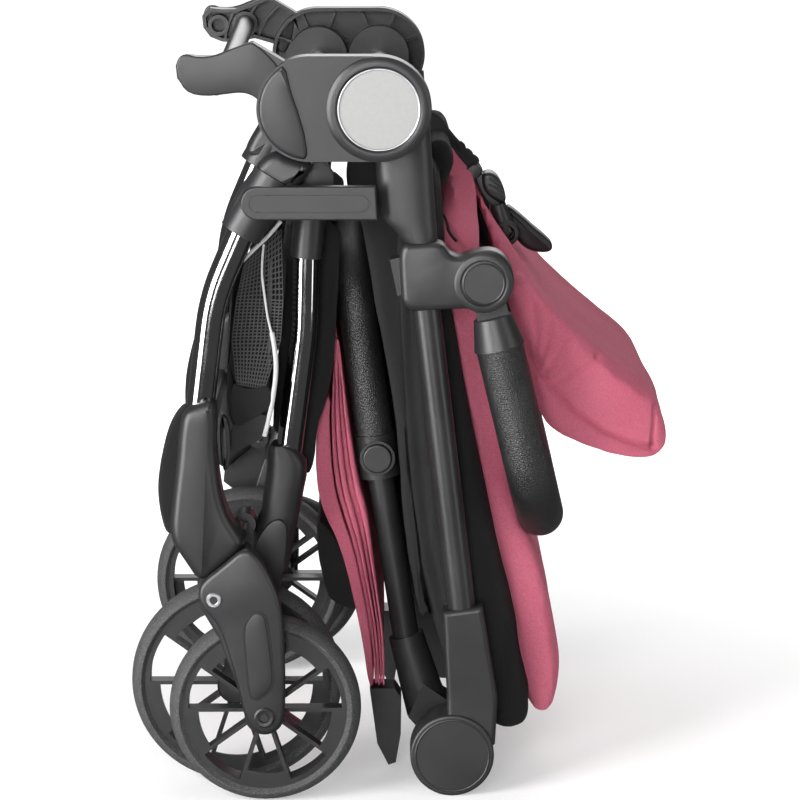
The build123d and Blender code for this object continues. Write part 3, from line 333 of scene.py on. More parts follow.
def make_backdrop():
    """Pale wall far round the floor, which only the camera sees."""
    ring = []
    for k in range(BACKDROP_SIDES):
        angle = math.tau * k / BACKDROP_SIDES
        ring.append((BACKDROP_REACH * math.cos(angle), BACKDROP_REACH * math.sin(angle)))
    verts = [(x, y, 0) for x, y in ring] + [(x, y, BACKDROP_TOP) for x, y in ring]
    data = bpy.data.meshes.new("backdrop")
    data.from_pydata(verts, [], ring_faces(2, BACKDROP_SIDES))
    wall = new_object("backdrop", data)
    material, _, shader = new_material("backdrop")
    set_inputs(shader, {"Base Color": BLANK, "Emission Color": WHITE, "Emission Strength": 1.0})
    data.materials.append(material)
    wall.visible_diffuse = False
    wall.visible_glossy = False
    wall.visible_transmission = False
    wall.visible_shadow = False


def make_stage():
    """Pale floor and backdrop, soft lights and the photograph's camera."""
    make_floor()
    make_backdrop()
    scene = bpy.context.scene
    world = scene.world or bpy.data.worlds.new("world")
    scene.world = world
    world.use_nodes = True
    set_inputs(world.node_tree.nodes["Background"], {"Color": WHITE, "Strength": 0.13})
    for name, place, size, power in LAMPS:
        data = bpy.data.lights.new(name, "AREA")
        data.shape = "RECTANGLE"
        data.size, data.size_y = size
        data.energy = power
        lamp = new_object(name, data)
        lamp.location = place
        lamp.visible_camera = False
        lamp.rotation_euler = (Vector(LAMP_AIM) - lamp.location).to_track_quat("-Z", "Y").to_euler()
    data = bpy.data.cameras.new("camera")
    data.sensor_width = SENSOR
    data.lens = CAMERA_LENS
    camera = new_object("camera", data)
    camera.location = CAMERA_PLACE
    camera.rotation_euler = (math.radians(90 - CAMERA_PITCH), 0, math.radians(-CAMERA_YAW))
    scene.camera = camera
    scene.view_settings.view_transform = "Standard"


# Mesh helpers

LOOP_LEAST = 12
ROUND_STEPS = 5
ROUND_FIRST = 0.35
CLOTH_FRAMES = 20
CLOTH_TENSION = 18
CLOTH_BENDING = 0.6
SEAM_REACH = 2
SEAM_FALL = 2.2
SEAM_SIDE = 0.3
RIPPLE_SHARE = 0.5
RIPPLE_SCALE = 2.1
CORD_ORDER = 3
CORD_ROUNDNESS = 2
SLEEVE_ANGLE = math.radians(50)
RIM_SHARE = 0.9


def add_piece(name, verts, faces, material, body):
    """A new smooth mesh piece that rides on a body, or on none yet."""
    data = bpy.data.meshes.new(name)
    data.from_pydata([tuple(v) for v in verts], [], faces)
    data.validate()
    piece = new_object(name, data)
    data.materials.append(material)
    shade_smooth(data)
    if body:
        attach(piece, body)
    return piece


def ring_piece(name, verts, sides, material, body, triangles=False, capped=True):
    """A piece of rings of points, turned outwards; its ends may be closed, and cut to triangles."""
    faces = ring_faces(len(verts) // sides, sides)
    if capped:
        faces.append(tuple(range(sides)))
        faces.append(tuple(reversed(range(len(verts) - sides, len(verts)))))
    piece = add_piece(name, verts, faces, material, body)
    mesh = bmesh.new()
    mesh.from_mesh(piece.data)
    bmesh.ops.recalc_face_normals(mesh, faces=mesh.faces)
    if triangles:
        bmesh.ops.triangulate(mesh, faces=[f for f in mesh.faces if len(f.verts) > 4])
    mesh.to_mesh(piece.data)
    mesh.free()
    return piece


def join(name, pieces):
    """Several meshes made into one piece."""
    bpy.ops.object.select_all(action="DESELECT")
    for piece in pieces:
        piece.select_set(True)
    bpy.context.view_layer.objects.active = pieces[0]
    bpy.ops.object.join()
    pieces[0].name = name
    return pieces[0]


def round_corners(points, times):
    """A closed outline with its corners cut the given number of times."""
    for _ in range(times):
        cut = []
        for index, (x0, z0) in enumerate(points):
            x1, z1 = points[(index + 1) % len(points)]
            cut.append((0.75 * x0 + 0.25 * x1, 0.75 * z0 + 0.25 * z1))
            cut.append((0.25 * x0 + 0.75 * x1, 0.25 * z0 + 0.75 * z1))
        points = cut
    return points


def even_loop(points, step):
    """A closed outline with points at even steps."""
    count = len(points)
    lengths = [math.dist(points[i], points[(i + 1) % count]) for i in range(count)]
    total = sum(lengths)
    number = max(LOOP_LEAST, round(total / step))
    out = []
    index = 0
    passed = 0.0
    for k in range(number):
        target = total * k / number
        while passed + lengths[index] < target:
            passed += lengths[index]
            index += 1
        share = (target - passed) / max(lengths[index], TINY)
        x0, z0 = points[index]
        x1, z1 = points[(index + 1) % count]
        out.append((x0 + (x1 - x0) * share, z0 + (z1 - z0) * share))
    return out


def signed_area(points):
    """A closed outline's area, above zero if it runs counter-clockwise."""
    area = 0.0
    for index, (x0, z0) in enumerate(points):
        x1, z1 = points[(index + 1) % len(points)]
        area += x0 * z1 - x1 * z0
    return area / 2


def shrink(points, by):
    """The outline moved inwards along its normals."""
    turn = 1.0 if signed_area(points) > 0 else -1.0
    count = len(points)
    out = []
    for index in range(count):
        x0, z0 = points[index - 1]
        x1, z1 = points[(index + 1) % count]
        length = max(math.hypot(x1 - x0, z1 - z0), TINY)
        nx, nz = -(z1 - z0) / length * turn, (x1 - x0) / length * turn
        x, z = points[index]
        out.append((x + nx * by, z + nz * by))
    return out


def pillow(name, outline, half, edge, material, body, step=5.0, cuts=2, narrow=None, middle=0.0):
    """A soft form: an outline across, rounded over at both sides."""
    ring = even_loop(round_corners(outline, cuts), step)
    stations = []
    flat = half - edge
    count = max(2, round(flat / step))
    for k in range(ROUND_STEPS):
        angle = math.pi / 2 * (k + ROUND_FIRST) / ROUND_STEPS
        stations.append((-flat - edge * math.cos(angle), edge * (1 - math.sin(angle))))
    for k in range(count + 1):
        stations.append((-flat + 2 * flat * k / count, 0.0))
    stations += [(-y, by) for y, by in reversed(stations[:ROUND_STEPS])]
    verts = []
    for y, by in stations:
        for x, z in shrink(ring, by):
            share = narrow(x, z) if narrow else 1.0
            verts.append(at(x, middle + y * share, z))
    return ring_piece(name, verts, len(ring), material, body, triangles=True)


def plate(name, outline, front, back, edge, material, body, step=2.0, cuts=2):
    """A flat piece between two places across, with rounded rims."""
    half = abs(back - front) / 2
    rim = min(edge, half * RIM_SHARE)
    return pillow(name, outline, half, rim, material, body, step, cuts, middle=(front + back) / 2)


def lathe(name, profile, place, axis, material, body, sides):
    """A turned piece from (radius, height) pairs along an axis."""
    turn = Vector(axis).to_track_quat("Z", "Y").to_matrix()
    verts = []
    for radius, height in profile:
        for k in range(sides):
            angle = 2 * math.pi * k / sides
            local = Vector((radius * math.cos(angle), radius * math.sin(angle), height)) * MM
            verts.append(at(*place) + turn @ local)
    piece = ring_piece(name, verts, sides, material, body, capped=profile[0] != profile[-1])
    piece.data.set_sharp_from_angle(angle=SHARP_ANGLE)
    return piece


def tapered(name, rows, middle, depth, material, body, sides=44, power=2.5):
    """A rounded sleeve from rows of (height, left, right)."""
    verts = []
    for z, left, right in rows:
        for k in range(sides):
            angle = 2 * math.pi * k / sides
            across = math.copysign(abs(math.cos(angle)) ** (2 / power), math.cos(angle))
            deep = math.copysign(abs(math.sin(angle)) ** (2 / power), math.sin(angle))
            verts.append(at((left + right) / 2 + (right - left) / 2 * across, middle + depth * deep, z))
    piece = ring_piece(name, verts, sides, material, body)
    piece.data.set_sharp_from_angle(angle=SLEEVE_ANGLE)
    return piece


def cord_line(name, points, radius, material, body):
    """A thin round line, such as a sewn cord or piping, along given places."""
    curve = bpy.data.curves.new(name, "CURVE")
    curve.dimensions = "3D"
    spline = curve.splines.new("NURBS")
    spline.points.add(len(points) - 1)
    for point, place in zip(spline.points, points):
        point.co = (*at(*place), 1)
    spline.order_u = CORD_ORDER
    spline.use_endpoint_u = True
    curve.bevel_depth = radius * MM
    curve.bevel_resolution = CORD_ROUNDNESS
    curve.use_fill_caps = True
    path = new_object(name, curve)
    data = bpy.data.meshes.new_from_object(path)
    bpy.data.objects.remove(path)
    piece = new_object(name, data)
    data.materials.clear()
    data.materials.append(material)
    shade_smooth(data)
    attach(piece, body)
    return piece


def apply_modifiers(piece):
    """Keeps the piece's mesh as its modifiers leave it."""
    graph = bpy.context.evaluated_depsgraph_get()
    data = bpy.data.meshes.new_from_object(piece.evaluated_get(graph))
    piece.modifiers.clear()
    piece.data = data
    shade_smooth(data)


def subdivide(piece, levels=1):
    """Smooth subdivision, kept in the mesh."""
    modifier = piece.modifiers.new("subdivision", "SUBSURF")
    modifier.levels = levels
    modifier.render_levels = levels
    apply_modifiers(piece)


def puff(piece, voxel, pressure, cap):
    """Fills the piece like a stuffed pad: even mesh, then cloth under inner pressure."""
    remesh = piece.modifiers.new("remesh", "REMESH")
    remesh.mode = "VOXEL"
    remesh.voxel_size = voxel * MM
    apply_modifiers(piece)
    start = [v.co.copy() for v in piece.data.vertices]
    cloth = piece.modifiers.new("cloth", "CLOTH")
    cloth.settings.use_pressure = True
    cloth.settings.uniform_pressure_force = pressure
    cloth.settings.effector_weights.gravity = 0
    cloth.settings.tension_stiffness = CLOTH_TENSION
    cloth.settings.bending_stiffness = CLOTH_BENDING
    scene = bpy.context.scene
    for number in range(1, CLOTH_FRAMES + 1):
        scene.frame_set(number)
    apply_modifiers(piece)
    scene.frame_set(1)
    for vertex, old in zip(piece.data.vertices, start):
        move = vertex.co - old
        if move.length > cap * MM:
            vertex.co = old + move.normalized() * cap * MM


def segment_distance(p, a, b):
    """How far a point lies from a straight run."""
    along = b - a
    share = max(0.0, min(1.0, (p - a).dot(along) / max(along.length_squared, TINY * MM)))
    return (p - a - along * share).length


def press(spots, runs, width, depth):
    """Presses straight runs into a piece, given as (vertex, place) pairs."""
    moves = []
    for vertex, place in spots:
        near = min(segment_distance(place, a, b) for a, b in runs) / (width * MM)
        if near < SEAM_REACH:
            moves.append((vertex, vertex.normal.copy(), math.exp(-(near * near) * SEAM_FALL)))
    for vertex, normal, share in moves:
        vertex.co -= normal * depth * MM * share


def groove(piece, path, width, depth):
    """Presses a sewn line of (x, y, z) places into the piece."""
    runs = [(at(*a), at(*b)) for a, b in zip(path, path[1:])]
    press([(vertex, vertex.co.copy()) for vertex in piece.data.vertices], runs, width, depth)


def side_seam(piece, path, width, depth):
    """Presses a sewn line of (x, z) places into both sides of the piece."""
    runs = [(at(a[0], 0, a[1]), at(b[0], 0, b[1])) for a, b in zip(path, path[1:])]
    spots = []
    for vertex in piece.data.vertices:
        if abs(vertex.normal.y) > SEAM_SIDE:
            spots.append((vertex, Vector((vertex.co.x, 0, vertex.co.z))))
    press(spots, runs, width, depth)


def wrinkle(piece, height, scale, stretch=(1, 1, 1)):
    """Uneven swells and creases over the whole piece."""
    moves = []
    for vertex in piece.data.vertices:
        p = Vector([vertex.co[i] * scale * stretch[i] for i in range(3)])
        moves.append(noise.noise(p) + RIPPLE_SHARE * noise.noise(p * RIPPLE_SCALE))
    normals = [v.normal.copy() for v in piece.data.vertices]
    for vertex, normal, move in zip(piece.data.vertices, normals, moves):
        vertex.co += normal * move * height * MM


def ease(value, start, stop):
    """A smooth rise from 0 to 1 between two values."""
    share = max(0.0, min(1.0, (value - start) / (stop - start)))
    return share * share * (3 - 2 * share)


def body_of(body, side):
    """A body's name, with the side where each side has a body of its own."""
    return body + side if body.endswith("_") else body


def side_form(name, side):
    """One of the flat forms that both sides have, on its side."""
    outline, across, edge, slot, body, step, cuts = SIDE_FORMS[name]
    near, far = [dict(SIDES)[side] * y for y in across]
    material = SLOT_MATERIALS[slot]
    piece = plate(name + "_" + side, outline, near, far, edge, material, body_of(body, side), step, cuts)
    return piece


def turned(name, side, profile, spot, y, material, body, sides):
    """A turned piece that faces outwards on its side of the part."""
    sign = dict(SIDES)[side]
    place = (spot[0], sign * y, spot[1])
    return lathe(name + "_" + side, profile, place, (0, sign, 0), material, body, sides)


def side_ring(name, side):
    """One of the turned pieces that both sides have, on its side."""
    profile, spot, y, slot, body, sides = SIDE_RINGS[name]
    piece = turned(name, side, profile, spot, y, SLOT_MATERIALS[slot], body_of(body, side), sides)


def padded(piece, node=None):
    """Hides the solid that a stuffed piece stands for, when one is given."""
    if node:
        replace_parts(piece, node)


# Seat

SEAT_HALF = 148.0
SEAT_OUTLINE = [
    (80, 471), (66, 473), (98, 398), (106, 378), (117, 346), (126, 300), (134, 284), (172, 266), (206, 258),
    (222, 260), (230, 270), (227, 285), (221, 301), (217, 308), (211, 313), (188, 331), (161, 352),
    (132, 379), (112, 409), (106, 402),
]
SEAT_SEAM = [
    (114, 352), (118, 345), (123.5, 334), (133, 320.5), (152, 299.5), (178, 282), (200, 272), (217, 267),
]
SEAT_END_SEAM = [(218, 301), (217, 282), (216, 268)]
SEAT_CREASES = [
    [(121, 340), (124, 360), (121, 384)], [(125, 336), (132, 356), (134, 372)],
    [(130, 330), (142, 345), (150, 356)], [(137, 320), (156, 333), (172, 341)],
]
SEAT_TIP_START = 150.0
SEAT_TIP_RUN = 75.0
SEAT_TIP_DRAW = 0.10
SEAT_ROOT = (402, 424)
SEAT_ROOT_DRAW = 0.80


def seat_share(x, z):
    """How wide the seat is at a place, as a share of its middle: drawn in at its tip and its root."""
    tip = 1.0 - SEAT_TIP_DRAW * max(0.0, min(1.0, (x - SEAT_TIP_START) / SEAT_TIP_RUN)) ** 2
    return tip * (1.0 - SEAT_ROOT_DRAW * ease(z, *SEAT_ROOT))


def make_seat():
    """Seat pad with its padded underside, folded behind the bumper bar."""
    seat = pillow("seat_pad", SEAT_OUTLINE, SEAT_HALF, 7, PINK, "seat", step=6, cuts=1, narrow=seat_share)
    puff(seat, voxel=4.5, pressure=1.2, cap=2.8)
    subdivide(seat, levels=2)
    wrinkle(seat, height=0.6, scale=22, stretch=(1, 0.6, 1))
    for crease in SEAT_CREASES:
        side_seam(seat, crease, width=4.5, depth=2.6)
    side_seam(seat, SEAT_SEAM, width=7.0, depth=2.5)
    side_seam(seat, SEAT_SEAM, width=2.4, depth=3.0)
    side_seam(seat, SEAT_END_SEAM, width=2.4, depth=3.0)
    padded(seat, node="seat_cushion")


# Backrest

BACK_HALF = 156.0
BACK_OUTLINE = [
    (119, 66), (113, 96), (104, 147), (88, 209), (66, 312), (52, 400), (46, 470), (46, 502), (57, 504),
    (70, 478), (75, 455), (74, 400), (83, 330), (93, 265), (104, 218), (121, 182), (133, 136), (140, 100),
    (141, 76), (137, 54), (129, 48), (122, 53),
]
BACK_SEAM = [(52, 446), (62, 433), (73, 420)]
BACK_CORD = [(44, -126, 455), (50, -130, 454), (53, -140, 448), (54, -150, 441), (60, -156.5, 436)]
BACK_CORD_R = 1.1
HEADREST = (432, 486)
HEADREST_DRAW = 0.74
PANEL_HALF = 169.0
PANEL_OUTLINE = [
    (15, 503), (15, 400), (19, 300), (28, 200), (47, 122), (64, 72), (86, 52), (96, 45), (112, 44), (123, 54),
    (113, 96), (104, 147), (88, 209), (66, 312), (52, 400), (46, 470), (45, 503),
]
PANEL_FOLDS = [
    [(24, 470), (22, 400), (27, 300), (38, 200), (52, 130)],
    [(33, 480), (36, 400), (43, 300), (56, 200), (76, 120), (92, 60)], [(104, 150), (98, 100), (100, 55)],
]
BELLY = 15.0
BELLY_HALF = 104.0
BELLY_RISE = (90, 160)
BELLY_FALL = (20, 60)
CLIP_MIDDLE = 118.0
CLIP_SIDE = (17, 23)
CLIP_ROOM_Z = 67.0
CLIP_ROOM_SHARE = 0.97
WING_CLOTH = [
    (-21, 510), (-24, 504), (-26, 491), (-25, 477), (-21, 463), (-14, 451), (-7, 420), (-2, 387), (3, 361),
    (8, 325), (14, 270), (23, 190), (32, 135), (38, 135), (32, 200), (26, 277), (22, 400), (22, 510),
]
FLAP_OUTLINE = [(44, 508), (55, 506), (60, 490), (54, 476), (47, 467), (41, 462), (38.5, 483), (38.5, 505)]
FLAP_HALF = 104.0


def back_share(_, z):
    """How wide the backrest is at a height: its top is rounded like a headrest."""
    return 1.0 - HEADREST_DRAW * ease(z, *HEADREST)


def shape_panel(panel):
    """Gives the back panel its belly, and room for the canopy's clips on the open stroller."""
    for vertex in panel.data.vertices:
        dx = vertex.co.x / MM - HINGE_X
        inside = max(0.0, 1.0 - (vertex.co.y / (BELLY_HALF * MM)) ** 2)
        share = inside * ease(vertex.co.z / MM, *BELLY_RISE) * (1.0 - ease(dx, *BELLY_FALL))
        vertex.co.x -= BELLY * share * MM
        beside = abs(abs(vertex.co.y / MM) - CLIP_MIDDLE)
        room = (1.0 - ease(beside, *CLIP_SIDE)) * max(0.0, CLIP_ROOM_Z - vertex.co.z / MM)
        vertex.co.z += CLIP_ROOM_SHARE * room * MM


def make_backrest():
    """Pink padded front of the backrest, over its dark back panel."""
    pad = pillow(
        "backrest_pad", BACK_OUTLINE, BACK_HALF, 11, PINK, "handle_lower", step=6, cuts=1, narrow=back_share)
    puff(pad, voxel=4.5, pressure=2.5, cap=4)
    subdivide(pad)
    wrinkle(pad, height=0.7, scale=20)
    side_seam(pad, BACK_SEAM, width=3.0, depth=3.0)
    padded(pad, node="backrest_cushion")
    panel = pillow("backrest_back", PANEL_OUTLINE, PANEL_HALF, 9, BLACK, "handle_lower", step=6, cuts=1)
    puff(panel, voxel=5.0, pressure=1.5, cap=2)
    subdivide(panel)
    shape_panel(panel)
    for fold in PANEL_FOLDS:
        for _, sign in SIDES:
            groove(panel, [(x, sign * PANEL_HALF, z) for x, z in fold], width=6.0, depth=3.5)
    wrinkle(panel, height=1.0, scale=26, stretch=(1, 1, 0.35))
    padded(panel, node="backrest_panel")
    for side, _ in SIDES:
        wing = side_form("backrest_wing", side)
        subdivide(wing)
        wrinkle(wing, height=2.2, scale=45, stretch=(1, 1, 0.2))
    flap = pillow("headrest_flap", FLAP_OUTLINE, FLAP_HALF, 6, BLACK, "handle_lower", step=3, cuts=1)
    subdivide(flap)
    wrinkle(flap, height=0.8, scale=40)
    padded(flap)
    cord_line("backrest_cord", BACK_CORD, BACK_CORD_R, BLACK, "handle_lower")


# Canopy: its left and right edges are (height, place) pairs

CANOPY_HALF = 133.0
CANOPY_LEFT = [
    (371, -37), (329, -42), (289, -50), (240, -51), (211, -44), (187, -32), (141, -20), (108, -14), (69, -9),
]
CANOPY_RIGHT = [
    (371, -36), (329, -29), (289, -24), (240, -17), (211, -9), (187, -6), (141, 0), (108, 4), (69, 4),
]
CANOPY_FLAP = [(-50, 209), (-40, 200), (-30, 180), (-21, 150), (-17, 132), (-33, 138), (-42, 144), (-50, 183)]
CANOPY_FLAP_INSET = 3.0
CANOPY_SHARES = [0.0, 0.42, 0.58, 0.72, 0.86, 1.0]
CANOPY_TOP = 366.0
LONGEST_PLEAT = 3
PLEAT_DROP = 9.0
FIRST_PLEAT_DROP = 30.0
PLEAT_GAP = 0.2
PLEAT_INSET = 4.0
LEVEL_GAP = 12.0


def along(table, z):
    """A value read off a falling list of (height, value) pairs."""
    for (z0, v0), (z1, v1) in zip(table, table[1:]):
        if z >= z1:
            return v0 + (v1 - v0) * (z0 - z) / (z0 - z1)
    return table[-1][1]


def pleat_outline(index, low, high):
    """The outline of one pleat between two shares of the canopy's depth."""
    top = CANOPY_TOP - PLEAT_DROP * abs(index - LONGEST_PLEAT) - (FIRST_PLEAT_DROP if index == 0 else 0)
    left = []
    right = []
    for z in [top] + [z for z, _ in CANOPY_LEFT if z < top - LEVEL_GAP]:
        a = along(CANOPY_LEFT, z)
        b = along(CANOPY_RIGHT, z)
        left.append((a + (b - a) * low + PLEAT_GAP, z))
        right.append((a + (b - a) * high - PLEAT_GAP, z))
    return left + right[::-1]


def make_canopy():
    """Gathered canopy: pleats of one cloth, stacked along the folded handle."""
    pleats = []
    for index, (low, high) in enumerate(zip(CANOPY_SHARES, CANOPY_SHARES[1:])):
        half = CANOPY_HALF - (PLEAT_INSET if index % 2 else 0.0)
        pleats.append(pillow("pleat", pleat_outline(index, low, high), half, 2.4, PINK, None, step=4, cuts=1))
    canopy = join("canopy_cloth", pleats)
    subdivide(canopy)
    wrinkle(canopy, height=0.8, scale=30, stretch=(1, 1, 0.4))
    padded(canopy, node="canopy")
    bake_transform(canopy)
    half = CANOPY_HALF - CANOPY_FLAP_INSET
    flap = pillow("canopy_flap", CANOPY_FLAP, half, 1.5, BLACK, "canopy", step=4, cuts=1)
    wrinkle(flap, height=0.6, scale=40)
    padded(flap)


# Basket

BASKET_SIDE = 177.0
NET_LEFT = [(-104, 423), (-110, 394), (-114, 362), (-111, 327)]
NET_RIGHT = [(-75, 449), (-74, 393), (-76, 362), (-89, 323)]
NET_TOP_Z = 424.0
NET_LOW_Z = 336.0
# Each wide net's name, and its places at its top and its foot
WIDE_NETS = (("front", -112, -119), ("rear", -84, -86))
BAND = [(-75.4, 455), (-82, 447), (-88, 440.5), (-96, 433.5), (-105, 424)]
NET_FOLD = [(-88.7, 437), (-91, 418), (-88.5, 398), (-86, 378), (-83, 367)]
LINING = [
    (-100, 436), (-75, 449), (-71, 409), (-78, 373), (-83, 366), (-85, 338), (-99, 323), (-116, 329),
    (-115, 363), (-110, 396),
]
SIDE_CLOTH = [
    (-64, 449), (-30, 449), (-31, 420), (-33, 373), (-36, 332), (-42, 305), (-50, 286), (-51, 258),
    (-57, 244), (-66, 262), (-70, 325), (-66, 389),
]
POCKET = [(-117, 330), (-100, 322), (-85, 328), (-83, 309), (-98, 300), (-114, 292)]
TIE = [(-117, 295), (-86, 307), (-87, 286), (-102, 278), (-117, 272)]
TIE_BRACKET = [(-124, 307), (-116, 300), (-115, 263), (-123, 259)]
TIE_SLOT = [(-121.5, 296), (-118.5, 293), (-118, 270), (-121, 269)]
PIPING_LINE = [(-83, 368), (-80.4, 353), (-79.8, 337), (-81.7, 322), (-85, 302), (-89.5, 286)]
BACK_WALL = [(-75, 447), (-64, 447), (-65, 389), (-70, 325), (-76, 280), (-84, 280), (-83, 309), (-78, 365)]
BACK_WALL_HALF = 140.0
FLOOR_CLOTH = [
    (-118, 340), (-118, 303), (-111, 288), (-93, 288), (-86, 302), (-85, 340), (-89, 338), (-90, 304),
    (-95, 293), (-109, 293), (-114, 305), (-114, 338),
]


def run_along(path, share):
    """A place at a share of a path's points."""
    spot = share * (len(path) - 1)
    index = min(int(spot), len(path) - 2)
    rest = spot - index
    return tuple(a + (b - a) * rest for a, b in zip(path[index], path[index + 1]))


def net(name, left, right, across, down, strand, sag):
    """A net of the basket between two edge paths, with real strands and gaps."""
    verts = []
    for row in range(down + 1):
        start = Vector(run_along(left, row / down))
        stop = Vector(run_along(right, row / down))
        for column in range(across + 1):
            u = column / across
            belly = math.sin(math.pi * u) * math.sin(math.pi * row / down)
            verts.append(at(*(start.lerp(stop, u) + Vector(sag) * belly)))
    faces = []
    for row in range(down):
        for column in range(across):
            k = row * (across + 1) + column
            faces.append((k, k + 1, k + across + 2, k + across + 1))
    piece = add_piece(name, verts, faces, NETTING, "front_frame")
    wire = piece.modifiers.new("wire", "WIREFRAME")
    wire.thickness = strand * MM
    wire.use_even_offset = False
    apply_modifiers(piece)
    return piece


def basket_line(name, path, y, radius):
    """A grey line of piping along (x, z) places on one side of the basket."""
    line = cord_line(name, [(x, y, z) for x, z in path], radius, PIPING, "front_frame")
    return line


def make_basket_side(side, sign):
    """One side of the basket: net, lining, hanging cloth, piping, pocket and tie."""
    y = sign * BASKET_SIDE
    left = [(x, y, z) for x, z in NET_LEFT]
    right = [(x, y, z) for x, z in NET_RIGHT]
    mesh = net("basket_net_" + side, left, right, across=12, down=36, strand=1.5, sag=(0, -sign * 3, 0))
    lining = side_form("basket_lining", side)
    hanging = side_form("basket_side", side)
    subdivide(hanging)
    wrinkle(hanging, height=0.9, scale=40, stretch=(1, 1, 0.3))
    band = basket_line("basket_band_" + side, BAND, y, radius=1.5)
    fold = basket_line("basket_fold_" + side, NET_FOLD, y + sign, radius=0.9)
    line = basket_line("basket_piping_" + side, PIPING_LINE, y, radius=1.9)
    pocket = side_form("basket_pocket", side)
    for name in ("basket_tie", "tie_bracket", "tie_slot"):
        side_form(name, side)


def make_basket():
    """Folded shopping basket: netting at the sides, a cloth floor, a tie strap and grey piping."""
    floor = pillow("basket_floor", FLOOR_CLOTH, BASKET_SIDE - 2, 1.5, BLACK, "front_frame", step=4, cuts=1)
    wrinkle(floor, height=0.7, scale=40)
    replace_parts(floor, "basket")
    wall = pillow("basket_back", BACK_WALL, BACK_WALL_HALF, 3, BLACK, "front_frame", step=4, cuts=1)
    wrinkle(wall, height=1.2, scale=34, stretch=(1, 1, 0.4))
    padded(wall)
    for side, sign in SIDES:
        make_basket_side(side, sign)
    edge = BASKET_SIDE - 1
    for name, top, low in WIDE_NETS:
        left = [(top, -edge, NET_TOP_Z), (low, -edge, NET_LOW_Z)]
        right = [(top, edge, NET_TOP_Z), (low, edge, NET_LOW_Z)]
        net("basket_net_" + name, left, right, across=88, down=22, strand=1.6, sag=(0, 0, -4))


# Harness

STRAP_FRONT = -33.0
BAND_OUTLINE = [
    (36, 523), (44, 523), (56, 506.5), (68.5, 493), (77, 484), (82.5, 474), (73.5, 468), (61.5, 478),
    (48.5, 489.5), (39, 506),
]
BAND_STEPS = [(67, 496), (73, 490), (78, 485)]
SLIDE_OUTLINE = [(68, 474), (75, 465), (85, 473), (78, 482)]
TONGUE_OUTLINE = [(82, 471), (90, 474), (97, 469), (103, 455), (102, 447), (94, 450), (85, 457)]
TONGUE_RIBS = [((88, 469), (98, 463)), ((88, 464), (100, 458)), ((89, 459), (101, 453))]
RIB_HALF = 0.8
RIB_SLANT = 0.6
TAIL_OUTLINE = [(75, 474), (85, 473), (102, 446), (91, 444), (83, 454)]
PAD_OUTLINE = [
    (79, 458), (89, 450), (90, 438), (90, 426), (94, 413), (99, 404), (88, 402), (81, 419), (78, 434),
]
WING_OUTLINE = [
    (102, 447), (114, 438), (126, 427), (136, 419), (142, 412), (140, 406), (127, 406), (116, 411),
    (108, 423),
]
SOCKET_PLACE = (103, STRAP_FRONT, 424)
SOCKET_R = 10.2
SOCKET_HOLE_R = 7.0
SOCKET_TUBE = [
    (SOCKET_HOLE_R, -2), (SOCKET_HOLE_R, 11), (SOCKET_R - 1, 11), (SOCKET_R, 10), (SOCKET_R, -6),
    (SOCKET_R - 2, -12), (0.5, -12), (0.5, -2),
]
PEG = [(0.3, -3), (4.2, -3), (4.2, 4), (3.2, 5), (0.3, 5)]
NECK = [(0.3, 0), (6.5, 0), (7.5, 14), (8, 24), (0.3, 24)]
NECK_PLACE = (96, STRAP_FRONT - 3, 447)
NECK_AXIS = (0.32, 0.02, -1)
TO_CAMERA = (0, -1, 0)


def harness_plate(name, outline, front, back, edge, material=DARK_PLASTIC, body="seat", step=2.0, cuts=2):
    """A flat part of the harness, between two depths from the strap's front."""
    return plate(name, outline, STRAP_FRONT + front, STRAP_FRONT + back, edge, material, body, step, cuts)


def make_harness():
    """Shoulder webbing with its slide, and the buckle with its socket and wing."""
    under = [(x + 3, z - 2) for x, z in BAND_OUTLINE]
    layers = [harness_plate("band", BAND_OUTLINE, -3, 0, 0.8, WEBBING, None, cuts=1)]
    layers.append(harness_plate("under", under, 1, 4, 0.8, WEBBING, None, cuts=1))
    for x, z in BAND_STEPS:
        corner = [(x - 5, z - 1), (x + 1, z - 6), (x + 4, z - 2), (x - 2, z + 3)]
        layers.append(harness_plate("step", corner, -4, 4, 0.6, WEBBING, None, step=1.5, cuts=1))
    strap = join("harness_webbing", layers)
    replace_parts(strap, "harness_strap")
    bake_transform(strap)
    slide = harness_plate("slide", SLIDE_OUTLINE, -6, 6, 1.5, step=1.5, cuts=1)
    tongue = harness_plate("tongue", TONGUE_OUTLINE, -7, 18, 3.5)
    tail = harness_plate("tail", TAIL_OUTLINE, -3, 14, 1.5)
    wing = harness_plate("wing", WING_OUTLINE, 2, 24, 4.5)
    ribs = []
    for (x0, z0), (x1, z1) in TONGUE_RIBS:
        rib = [(x0, z0 - RIB_HALF), (x1, z1 - RIB_HALF), (x1 + RIB_SLANT, z1 + RIB_HALF), (x0, z0 + RIB_HALF)]
        ribs.append(harness_plate("rib", rib, -8, 10, 0.5, step=1.0, cuts=1))
    socket = lathe("socket", SOCKET_TUBE, SOCKET_PLACE, TO_CAMERA, DARK_PLASTIC, "seat", sides=40)
    peg = lathe("peg", PEG, SOCKET_PLACE, TO_CAMERA, DARK_PLASTIC, "seat", sides=24)
    neck = lathe("neck", NECK, NECK_PLACE, NECK_AXIS, DARK_PLASTIC, "seat", sides=32)
    buckle = join("buckle", [socket, peg, neck, slide, tongue, tail, wing] + ribs)
    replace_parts(buckle, "harness_buckle")
    harness_plate("crotch_webbing", PAD_OUTLINE, 1, 5, 1.0, WEBBING)


# Skins, shells, rings and screws: turned profiles are (radius, height) pairs

